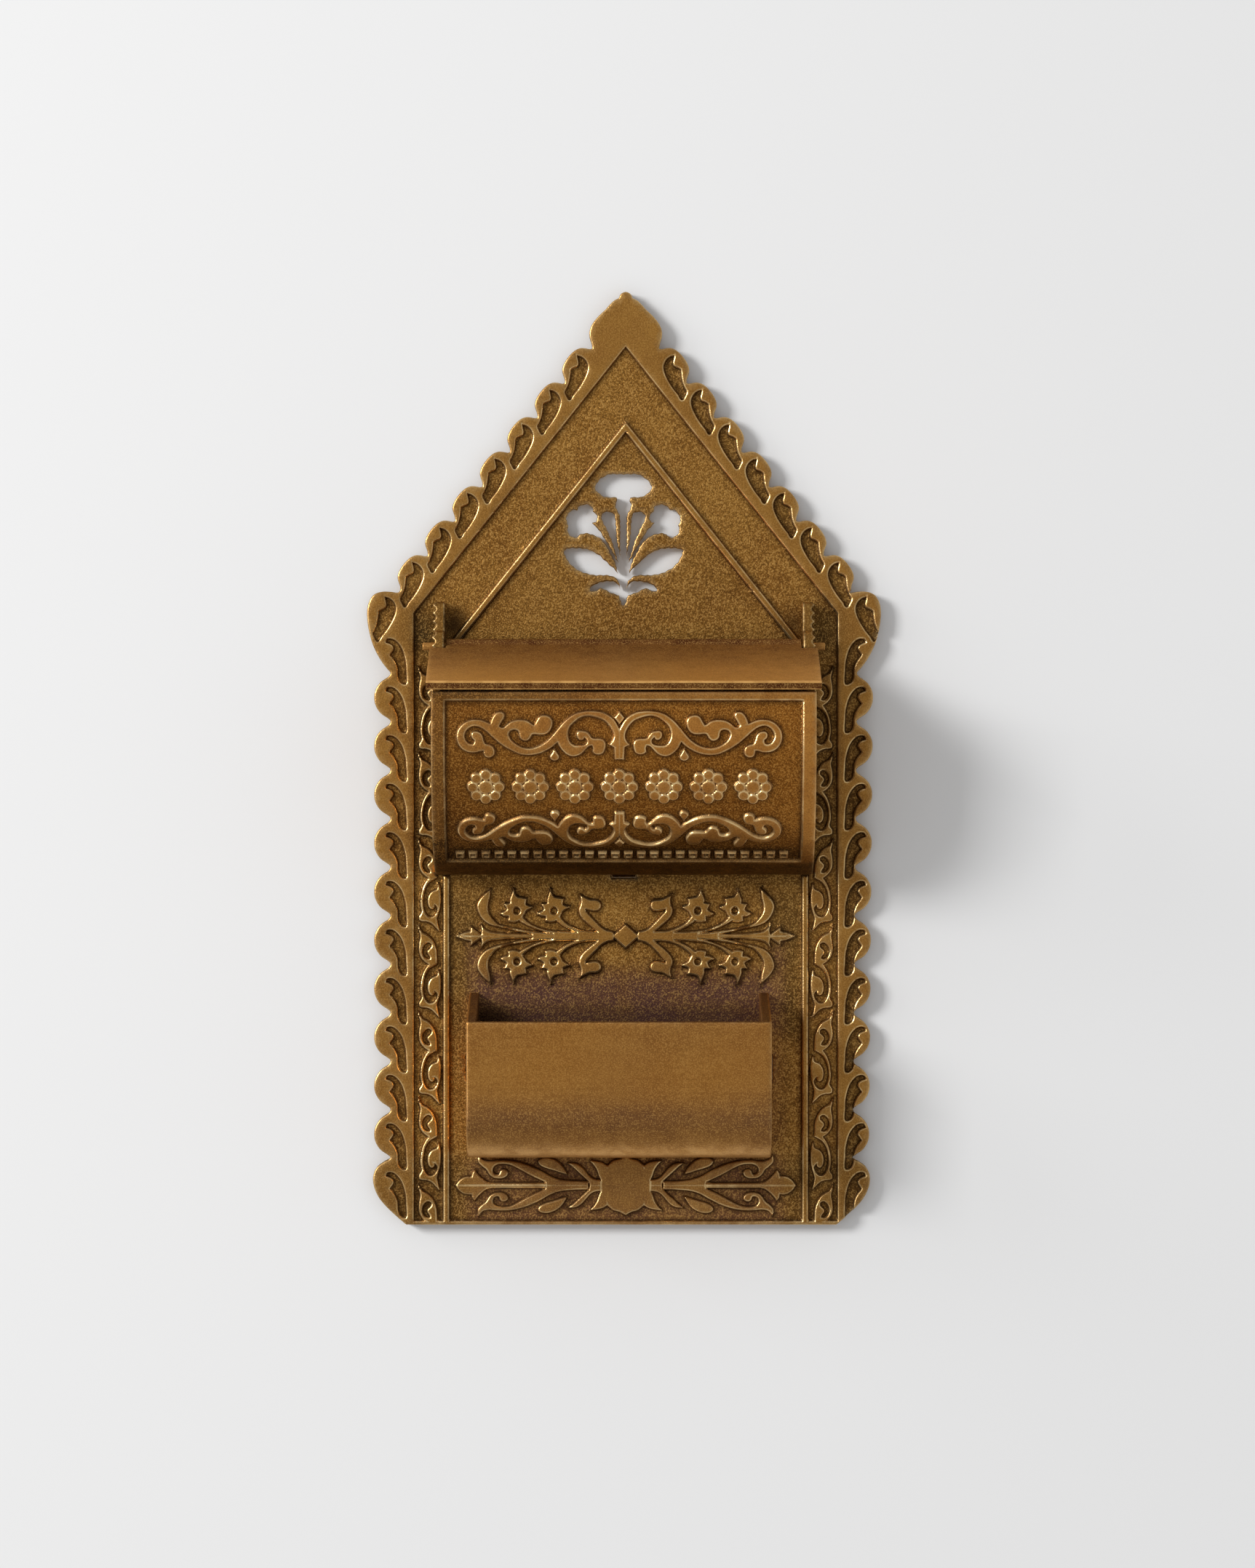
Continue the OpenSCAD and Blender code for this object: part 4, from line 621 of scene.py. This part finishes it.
def onWall(x, z, out):
    return np.stack([x, -out, z], 1)


print("back plate")
wallRows = [-0.32, -0.15, -0.02, 0.17, 0.42]
relief = rowsAlong(raisedLoops + eyeLoops + leafLoops + [fieldLoop], wallRows)
relief = np.vstack([relief, gridInside(plateOutline, 1.3)])
castPiece("plateCasting", "holder", ["back_plate"], castBrass, [plateOutline, flowerHole] + slotLoops,
          relief, plateFace, onWall, plate["rim"], side=0.8)


scrollKnots = [[0, 12.4, 1], [0.4, 13.3], [1.1, 14.4], [2.1, 15.3], [3.5, 16], [5, 16.25], [6.5, 16.3],
               [8, 16.1], [9.5, 15.6], [10.7, 14.8], [11.8, 13.8], [12.8, 12.6], [13.8, 11.4],
               [14.8, 10.3], [16, 9.4], [17.2, 8.8], [18.5, 8.45], [19.8, 8.55], [21, 9], [22.2, 9.8],
               [22.9, 10.7], [23.1, 11.6], [22.7, 12.2], [21.9, 12.4], [21.2, 12.2], [20.9, 11.5],
               [20.8, 10.8], [20.2, 10.2], [19.3, 10.1], [18.6, 10.7], [18.2, 11.4], [17.6, 11.5],
               [16.6, 11.4], [15.4, 11.5], [14.5, 12.2], [14, 13.4], [14.1, 14.5], [14.8, 15.2],
               [16, 15.4], [16.8, 15], [17.4, 14], [17.8, 13.3, 1], [18.3, 13.6], [19, 14.1],
               [20, 14.4], [21.3, 14.4], [22.5, 14.1], [23.5, 13.4], [24.3, 12.8], [25.1, 13.1, 1],
               [24.5, 14.2], [24, 15.2], [24.2, 15.9], [25, 16.1], [25.8, 15.8], [26.5, 14.8],
               [26.9, 13.6, 1], [28.2, 14.2], [29.5, 14.5], [31, 14.4], [32.5, 13.7], [33.6, 12.4],
               [33.95, 10.9], [33.6, 9.4], [32.7, 8.3], [31.4, 7.7], [30, 7.6], [29, 7.9], [28.3, 8, 1],
               [28.3, 7.4], [27.9, 6.7], [27.1, 6.5], [26.2, 7], [26, 7.8], [26.3, 8.7], [27.1, 9.2],
               [27.9, 9.4], [28.3, 10.2], [28.5, 11], [29, 11.7], [29.8, 12], [30.6, 11.9],
               [30.9, 11.3], [30.7, 10.6], [30.2, 10.2, 1], [30.4, 9.4], [31.3, 9.4], [32, 10.1],
               [32.3, 11.1], [32, 12.1], [31.2, 12.9], [30.2, 13.2], [29, 12.9], [27.8, 12.1],
               [26.5, 10.9], [25, 9.6], [23.5, 8.6], [22, 7.8], [20.5, 7.2], [18.8, 7.05], [17, 7.3],
               [15.5, 7.9], [14, 8.8], [12.9, 9.8, 1], [12.3, 8.6], [11.3, 7.5], [10, 6.8], [9, 6.85],
               [8, 7.3], [7.2, 8.1], [6.4, 8.9], [5.7, 9.1, 1], [5.5, 8.4], [5.6, 7.8], [5.1, 7.3],
               [4.3, 7.15], [3.4, 7.5], [3, 8.4], [2.9, 9.4], [3.3, 10.2], [4.2, 10.5], [5.2, 10.5],
               [5.8, 10.7], [6.2, 11.3], [6.8, 11.9], [7.6, 12.1], [8.5, 12.1], [8.9, 11.6],
               [8.8, 10.8], [8.3, 10.3], [7.6, 10.3], [7.3, 10.8, 1], [6.8, 10.3], [6.8, 9.6],
               [7.4, 9.15], [8.5, 9], [9.5, 9.1], [10.3, 9.8], [10.7, 10.9], [10.7, 11.9], [10.3, 13.1],
               [9.3, 14.1], [8, 15], [6.3, 15.3], [4.5, 14.9], [3, 14.2], [1.9, 13], [1.25, 11.6],
               [1.3, 10.4], [2.1, 9.2, 1], [1.1, 8.7, 1], [0.95, 6.1, 1], [-0.2, 6.1, 1], [-0.2, 12, 1]]
lozengeKnots = [[0, 16.25, 1], [1.05, 14.85, 1], [0, 13.55, 1], [-1.05, 14.85, 1]]
dropKnots = [[13.5, 8.4, 1], [13, 7.5], [12.55, 6.7], [12.8, 6.1], [13.5, 5.8], [14.2, 6.1], [14.5, 6.7], [14.05, 7.5]]
front = {
    "ground": 1.6, "relief": 0.8, "wall": 0.2, "spacing": 0.42, "rim": 0.35,
    "middle": 20.4, "ornamentX": -0.9, "studX": -0.4, "studRun": 39.9, "studPitch": 2.73, "studCount": 26,
    "studHalf": (0.88, 1.05), "dimpleHalf": (0.42, 0.55),
    "rosetteCount": 7, "rosettePitch": 9.3, "rosette": 3.9, "petalCount": 8, "petal": 1.15, "boss": 1.5,
}
straightRun = box["top"] - (box["bottom"] + box["round"])
arcRun = box["round"] * math.pi / 2
backRun = straightRun + arcRun + (box["deep"] - box["round"] - plate["ground"])


# The front's section: straight down from its top edge, round a quarter circle and back to the
# wall. The run along it and the height over its inner face give a point out from the wall and up.
def bentFront(size, straight):
    arc = size["round"] * math.pi / 2
    centreOut, centreZ = size["deep"] - size["round"], size["bottom"] + size["round"]

    def place(x, up, height):
        run = -up
        turn = np.clip((run - straight) / size["round"], 0, math.pi / 2)
        reach = size["round"] - size["thick"] + height
        out = centreOut + reach * np.cos(turn) - np.maximum(run - straight - arc, 0)
        z = centreZ - reach * np.sin(turn) + np.maximum(straight - run, 0)
        return np.stack([x, -out, z], 1)
    return place


def boxesAt(x, up, half):
    return rectangle(x - half[0], up - half[1], x + half[0], up + half[1], 0.5)


spacing = front["spacing"]
scrolls = fourWays([drawCurve(scrollKnots, spacing), drawCurve(dropKnots, spacing)])
scrolls += [drawCurve(placeKnots(lozengeKnots, 0, 0, 1, way), spacing) for way in (1, -1)]
for turn in range(front["rosetteCount"]):
    x = (turn - (front["rosetteCount"] - 1) / 2) * front["rosettePitch"]
    for petal in range(front["petalCount"]):
        angle = petal * 2 * math.pi / front["petalCount"]
        reach = front["rosette"] - front["petal"]
        ring = np.linspace(0, 2 * np.pi, 17)[:-1]
        scrolls.append(np.stack([x + reach * math.sin(angle) + front["petal"] * np.cos(ring),
                                 reach * math.cos(angle) + front["petal"] * np.sin(ring)], 1))
    ring = np.linspace(0, 2 * np.pi, 21)[:-1]
    scrolls.append(np.stack([x + front["boss"] * np.cos(ring), front["boss"] * np.sin(ring)], 1))
frontRaised = shift(scrolls, box["x"] + front["ornamentX"], -front["middle"])
studPlaces = (np.arange(front["studCount"]) - (front["studCount"] - 1) / 2) * front["studPitch"] + box["x"] + front["studX"]
studs = [boxesAt(x, -front["studRun"], front["studHalf"]) for x in studPlaces]
dimples = [boxesAt(x, -front["studRun"], front["dimpleHalf"]) for x in studPlaces]
halfPanel = box["wide"] / 2 - box["frameSide"]
panelLoop = rectangle(box["x"] - halfPanel, -box["frameTop"] - box["panelRun"], box["x"] + halfPanel, -box["frameTop"], 0.5)
halfBox = box["wide"] / 2
tabRun = backRun + plate["ground"] - tab["inset"]
frontOutline = drawCurve([[box["x"] - halfBox, 0, 1], [box["x"] - halfBox, -backRun, 1], [box["x"] - tab["long"] / 2, -backRun, 1],
                          [box["x"] - tab["long"] / 2, -tabRun, 1], [box["x"] + tab["long"] / 2, -tabRun, 1],
                          [box["x"] + tab["long"] / 2, -backRun, 1], [box["x"] + halfBox, -backRun, 1],
                          [box["x"] + halfBox, 0, 1]], 0.6)


# tarnish and painted shade of the front: painted shade a little under the lid and more and more
# towards its underside, dark around the studs, and the front and its frame darker towards the left
def frontFace(points):
    x, up = points.T
    raised = np.minimum(deepest(points, frontRaised + studs), -deepest(points, dimples))
    sunk = np.minimum(depthInside(points, panelLoop), -raised)
    tarnishAndShade = 0.35 * smoothStep(-3, 0, up) + 0.75 * smoothStep(-27, -44, up)
    tarnishAndShade = tarnishAndShade + (depthInside(points, panelLoop) < 0) * np.interp(x - box["x"], [-halfPanel, halfPanel], [0.55, 0.0])
    tarnishAndShade = np.maximum(tarnishAndShade, 0.9 * band(up, -42.4, -37.6, 0.6) * (sunk > 0)) * np.where(sunk > 0, 1, 0.8)
    tarnishAndShade = tarnishAndShade + 0.28 * smoothStep(0, -34, x)
    # the lowest edge, where the front turns under, is painted dark as shade, with less painted highlight just above it
    lowest = smoothStep(-42.2, -43.4, up)
    tarnishAndShade = np.maximum(tarnishAndShade, lowest)
    height, marks = carvedFace(sunk, front, 0.04 * unevenness(x, up, 5.0), np.clip(tarnishAndShade, 0, 1))
    marks["grimeAndShade"] = np.maximum(marks["grimeAndShade"], 0.6 * lowest)
    marks["wearAndHighlight"] *= 1 - 0.6 * smoothStep(-41, -42.2, up)
    return height + tab["extra"] * smoothStep(-backRun, -backRun - 0.15, up), marks


print("box front")
relief = rowsAlong(frontRaised + studs + dimples + [panelLoop], wallRows)
relief = np.vstack([relief, gridInside(frontOutline, 1.2)])
castPiece("boxFront", "holder", ["box_panel"], copperBrass, [frontOutline], relief, frontFace,
          bentFront(box, straightRun), front["rim"])


lidTilt = (math.atan2(hinge["z"] - box["top"], box["deep"] - hinge["out"])
           - math.asin((lidSize["thick"] - lidSize["lift"] + lidSize["frontGap"])
                       / math.hypot(box["deep"] - hinge["out"], hinge["z"] - box["top"])))
lidUnder = lidSize["lift"] - lidSize["thick"] - lidSize["gap"]
ear = {"bead": 23.9, "pitch": 1.77, "count": 6, "stand": 0.6, "wide": 1.0, "from": 4.5}


def arcPoints(centre, radius, start, end, count):
    angle = np.linspace(math.radians(start), math.radians(end), count)
    return np.stack([centre[0] + radius * np.cos(angle), centre[1] + radius * np.sin(angle)], 1)


def spread(corners, step=0.6):
    # the same closed outline with points no further apart than step
    return drawCurve([[x, z, 1] for x, z in corners], step)


# the lid's underside as a line: its height above a distance from the wall
def underLid(out):
    return hinge["z"] + (lidUnder - (out - hinge["out"]) * math.sin(lidTilt)) / math.cos(lidTilt)


inner = box["round"] - box["thick"]
centre = (box["deep"] - box["round"], box["bottom"] + box["round"])
earFoot = hinge["out"] + hinge["ear"]
cheekShape = np.vstack([
    [[plate["ground"], box["bottom"] + box["thick"]]],
    arcPoints(centre, inner, -90, 0, 40),
    [[box["deep"] - box["thick"], underLid(box["deep"] - box["thick"])]],
    [[earFoot + 0.1, underLid(earFoot + 0.1)]],
    arcPoints((hinge["out"], hinge["z"]), hinge["ear"], -14, 126, 22),
    arcPoints((hinge["earOut"] - 1.7, hinge["earTop"] - 1.7), 1.7, 0, 90, 8),
    [[plate["ground"], hinge["earTop"]]],
    [[plate["ground"], box["tabZ"] + tab["long"] / 2], [tab["inset"], box["tabZ"] + tab["long"] / 2],
     [tab["inset"], box["tabZ"] - tab["long"] / 2], [plate["ground"], box["tabZ"] - tab["long"] / 2]],
])
cheekOutline = spread(cheekShape, 0.3)
rodHole = arcPoints((hinge["out"], hinge["z"]), hinge["rod"] + 0.05, 0, 360, 25)[:-1]


def plainFace(thick, waves, tarnishAndShadeAt=None):
    def face(points):
        x, z = points.T
        none = np.zeros(len(points))
        tarnishAndShade = tarnishAndShadeAt(x, z) if tarnishAndShadeAt else none
        return thick + waves * unevenness(x, z, 4.0), {"rise": none + 1, "wearAndHighlight": none, "grimeAndShade": none, "tarnishAndShade": tarnishAndShade}
    return face


# a cheek's outer face, with the row of beads along the front of its ear painted bright, as worn metal and as painted
# highlight, and darker near the wall
def cheekFace(points):
    out, z = points.T
    height, marks = plainFace(box["cheek"], 0.0)(points)
    beads = np.cos(np.pi * np.clip((z - ear["bead"]) / ear["pitch"], -0.5, ear["count"] - 0.5))**4
    near = smoothStep(ear["wide"] + 0.4, ear["wide"], depthInside(points, cheekOutline))
    near = near * (z > ear["bead"] - 0.8) * (out > ear["from"])
    marks["wearAndHighlight"] = 1.2 * beads * near
    marks["tarnishAndShade"] = 0.9 * (1 - smoothStep(5, 8, out)) + 0.35
    return height + ear["stand"] * beads * near, marks


def upright(x, way):
    # out and z are the plan, and the height runs along X, away from the middle of the box
    def place(out, z, height):
        return np.stack([x + way * height, -out, z], 1)
    return place


print("cheeks")
fine = np.stack(np.meshgrid(np.arange(4.4, 12.4, 0.22), np.arange(22.8, 33.3, 0.2)), -1).reshape(-1, 2)
for side, label in ((-1, "Left"), (1, "Right")):
    inside = box["x"] + side * (box["wide"] / 2 - box["cheek"])
    castPiece("boxCheek" + label, "holder", ["box_cheek_" + label.lower()], castBrass,
              [cheekOutline, rodHole], np.vstack([fine, gridInside(cheekOutline, 2.0)]), cheekFace,
              upright(inside, side), 0.3, sheet=True, inside=0.85)

lidLong = (box["deep"] + lidSize["front"] - hinge["out"]) / math.cos(lidTilt)
lidHalf = box["wide"] / 2 + lidSize["side"]
tongueHalf = box["wide"] / 2 - box["cheek"] - lidSize["barrelGap"]
tongueLong = hinge["ear"] + lidSize["earGap"]
lidOutline = spread([[-lidHalf, lidLong], [-lidHalf, tongueLong], [-tongueHalf, tongueLong], [-tongueHalf, 0.2],
                     [tongueHalf, 0.2], [tongueHalf, tongueLong], [lidHalf, tongueLong], [lidHalf, lidLong]], 0.8)


def onLid(x, along, height):
    rise = height + lidSize["lift"] - lidSize["thick"]
    out = hinge["out"] + along * math.cos(lidTilt) + rise * math.sin(lidTilt)
    z = hinge["z"] - along * math.sin(lidTilt) + rise * math.cos(lidTilt)
    return np.stack([box["x"] + x, -out, z], 1)


# the lid's upper face, with bare metal and a painted highlight along its front edge
def lidFace(thick, waves, tarnishAndShadeAt):
    def face(points):
        height, marks = plainFace(thick, waves, tarnishAndShadeAt)(points)
        marks["wearAndHighlight"] = 1.5 * np.exp(-((lidLong - points[:, 1] - 0.08) / 0.3)**2)
        return height, marks
    return face


print("lid")
# the lid is painted darker towards its hinge, a painted reflection of the shaded plate behind it
castPiece("lidPlate", "lid", ["lid"], lidBrass, [lidOutline], gridInside(lidOutline, 1.2),
          lidFace(lidSize["thick"], 0.03, lambda x, along: 0.12 + 0.7 * (1 - smoothStep(3, 31, along))), onLid, 0.22,
          sheet=True, side=1.0)


# A bar along X: rings of points at even turns about it, with radius less where a quarter circle
# rounds the ends, and a point in the middle of each end.
def roundBar(name, nodes, x0, x1, radius, endRound, tarnishAndShade, sides=32):
    turn = np.linspace(0, math.pi / 2, 6)
    end, drawnIn = endRound * (1 - np.cos(turn)), endRound * (1 - np.sin(turn))
    middle = np.linspace(x0 + endRound, x1 - endRound, 60)[1:-1]
    along = np.concatenate([x0 + end, middle, x1 - end[::-1]])
    size = radius - np.concatenate([drawnIn, 0 * middle, drawnIn[::-1]])
    angle = np.linspace(0, 2 * math.pi, sides + 1)[:-1]
    x = np.repeat(along, sides)
    out = hinge["out"] + np.outer(size, np.cos(angle)).ravel()
    z = hinge["z"] + np.outer(size, np.sin(angle)).ravel()
    vertices = np.stack([np.append(x, [x0, x1]), -np.append(out, [hinge["out"]] * 2), np.append(z, [hinge["z"]] * 2)], 1)
    ring, step = [index.ravel() for index in np.meshgrid(np.arange(len(along) - 1), np.arange(sides), indexing="ij")]
    here, beside = ring * sides + step, ring * sides + (step + 1) % sides
    step, last = np.arange(sides), (len(along) - 1) * sides
    ahead = (step + 1) % sides
    faces = np.vstack([
        np.stack([here, beside, beside + sides], 1), np.stack([here, beside + sides, here + sides], 1),
        np.stack([step * 0 + len(x), ahead, step], 1), np.stack([step * 0 + len(x) + 1, last + step, last + ahead], 1)])
    flat = np.zeros(len(vertices))
    edge = np.minimum(vertices[:, 0] - x0, x1 - vertices[:, 0])
    # the ends are painted bright, as worn metal and as painted highlight
    marks = {"rise": flat + 1, "wearAndHighlight": 0.5 * np.exp(-(edge / 0.3)**2), "grimeAndShade": flat, "tarnishAndShade": flat + tarnishAndShade}
    finishPiece(name, "lid", nodes, lidBrass, vertices, faces, marks, 50)


roundBar("lidBarrel", [], box["x"] - tongueHalf, box["x"] + tongueHalf, hinge["barrel"], 0.3, 1.0)
roundBar("hingeRod", ["hinge_rod"], box["x"] - box["wide"] / 2 - hinge["rodOut"],
         box["x"] + box["wide"] / 2 + hinge["rodOut"], hinge["rod"], 0.25, 0.5)

trayStraight = tray["top"] - (tray["bottom"] + tray["round"])
trayBack = trayStraight + tray["round"] * math.pi / 2 + tray["deep"] - tray["round"] - plate["ground"]
halfTray = tray["wide"] / 2
trayOutline = rectangle(tray["x"] - halfTray, -trayBack, tray["x"] + halfTray, 0, 0.8)


# tarnish and painted shade of the tray's front: clouded, painted shade darkest low on the flat, a little darker towards
# the right, with the round below painted light, rubbed metal and painted reflection
def trayFace(points):
    x, run = points[:, 0], -points[:, 1]
    height, marks = plainFace(tray["thick"], 0.05)(points)
    marks["tarnishAndShade"] = np.clip(0.18 + 0.46 * np.exp(-((run - 20.5) / 4.5)**2) + 0.14 * unevenness(x, run, 5.5)
                               + 0.1 * smoothStep(5, 30, x), 0, 1)
    marks["wearAndHighlight"] = 0.6 * np.exp(-((run - 29.5) / 3.2)**2)
    return height, marks


print("tray")
castPiece("trayFront", "holder", ["tray_panel"], trayBrass, [trayOutline], gridInside(trayOutline, 1.2),
          trayFace, bentFront(tray, trayStraight), 0.4, sheet=True, inside=0.9)
trayInner = tray["round"] - tray["thick"]
trayCentre = (tray["deep"] - tray["round"], tray["bottom"] + tray["round"])
trayShape = np.vstack([
    [[plate["ground"], tray["bottom"] + tray["thick"]]],
    arcPoints(trayCentre, trayInner, -90, 0, 14),
    [[tray["deep"] - tray["thick"], tray["top"]], [plate["ground"], tray["cheekTop"]]],
    [[plate["ground"], tray["tabZ"] + tab["long"] / 2], [tab["inset"], tray["tabZ"] + tab["long"] / 2],
     [tab["inset"], tray["tabZ"] - tab["long"] / 2], [plate["ground"], tray["tabZ"] - tab["long"] / 2]],
])
trayCheekOutline = spread(trayShape)
for side, label in ((-1, "Left"), (1, "Right")):
    inside = tray["x"] + side * (tray["wide"] / 2 - tray["thick"])
    castPiece("trayCheek" + label, "holder", ["tray_cheek_" + label.lower()], trayBrass,
              [trayCheekOutline], gridInside(trayCheekOutline, 2.0), plainFace(tray["thick"], 0.0),
              upright(inside, side), 0.3, sheet=True, inside=0.9, side=0.85)

wall = bpy.data.meshes.new("wall")
wall.from_pydata([(-1.5, 0.0006, -1.2), (1.5, 0.0006, -1.2), (1.5, 0.0006, 1.5), (-1.5, 0.0006, 1.5)], [],
                 [(0, 1, 2, 3)])
wallPaint = bpy.data.materials.new("wallPaint")
wallPaint.use_nodes = True
paintTree = wallPaint.node_tree
paint = paintTree.nodes["Principled BSDF"]
paint.inputs["Base Color"].default_value = srgb(232, 232, 232)
paint.inputs["Roughness"].default_value = 0.9
# Seen from behind the wall is clear, and so it is to the light that reaches the plate's back,
# which lies within a few millimetres of it. From the room it is an ordinary painted wall.
behind = paintTree.nodes.new("ShaderNodeNewGeometry").outputs["Backfacing"]
near = calculate(paintTree, "LESS_THAN", paintTree.nodes.new("ShaderNodeLightPath").outputs["Ray Length"], 0.003)
clear = paintTree.nodes.new("ShaderNodeMixShader")
paintTree.links.new(calculate(paintTree, "MAXIMUM", behind, near), clear.inputs[0])
paintTree.links.new(paint.outputs["BSDF"], clear.inputs[1])
paintTree.links.new(paintTree.nodes.new("ShaderNodeBsdfTransparent").outputs["BSDF"], clear.inputs[2])
paintTree.links.new(clear.outputs["Shader"], paintTree.nodes["Material Output"].inputs["Surface"])
wall.materials.append(wallPaint)
backdrop = bpy.data.objects.new("wall", wall)
bpy.context.scene.collection.objects.link(backdrop)

studio = {"worldStrength": 0.54, "keyPower": 40.0, "keyPlace": (-1.75, -1.54, 0.7), "keySize": 0.7,
          "sidePower": 3.8, "sidePlace": (-1.3, -0.4, 0.5), "sideSize": 0.5}
world = bpy.data.worlds.new("room")
bpy.context.scene.world = world
world.use_nodes = True
world.node_tree.nodes["Background"].inputs["Color"].default_value = (1, 1, 1, 1)
world.node_tree.nodes["Background"].inputs["Strength"].default_value = studio["worldStrength"]


def softLamp(name, place, power, size):
    lamp = bpy.data.lights.new(name, "AREA")
    lamp.energy = power
    lamp.size = size
    lampObject = bpy.data.objects.new(name, lamp)
    lampObject.location = place
    lampObject.rotation_euler = (Vector((0, 0, 0)) - Vector(place)).to_track_quat("-Z", "Y").to_euler()
    bpy.context.scene.collection.objects.link(lampObject)


softLamp("keyLamp", studio["keyPlace"], studio["keyPower"], studio["keySize"])
softLamp("sideLamp", studio["sidePlace"], studio["sidePower"], studio["sideSize"])

view = {"distance": 1.2, "centre": (0.00039, -0.00553), "frameWidth": 0.2689, "planeOut": 0.003}
camera = bpy.data.cameras.new("camera")
camera.sensor_fit = "HORIZONTAL"
camera.sensor_width = 36.0
camera.lens = 36.0 * (view["distance"] - view["planeOut"]) / view["frameWidth"]
# the photograph is taller than wide, so the lens is fitted to its width of 1725 by 2156
cameraObject = bpy.data.objects.new("camera", camera)
cameraObject.location = (view["centre"][0], -view["distance"], view["centre"][1])
cameraObject.rotation_euler = (math.pi / 2, 0, 0)
bpy.context.scene.collection.objects.link(cameraObject)
bpy.context.scene.camera = cameraObject

bpy.context.scene.view_settings.view_transform = "Standard"
print("scene made")
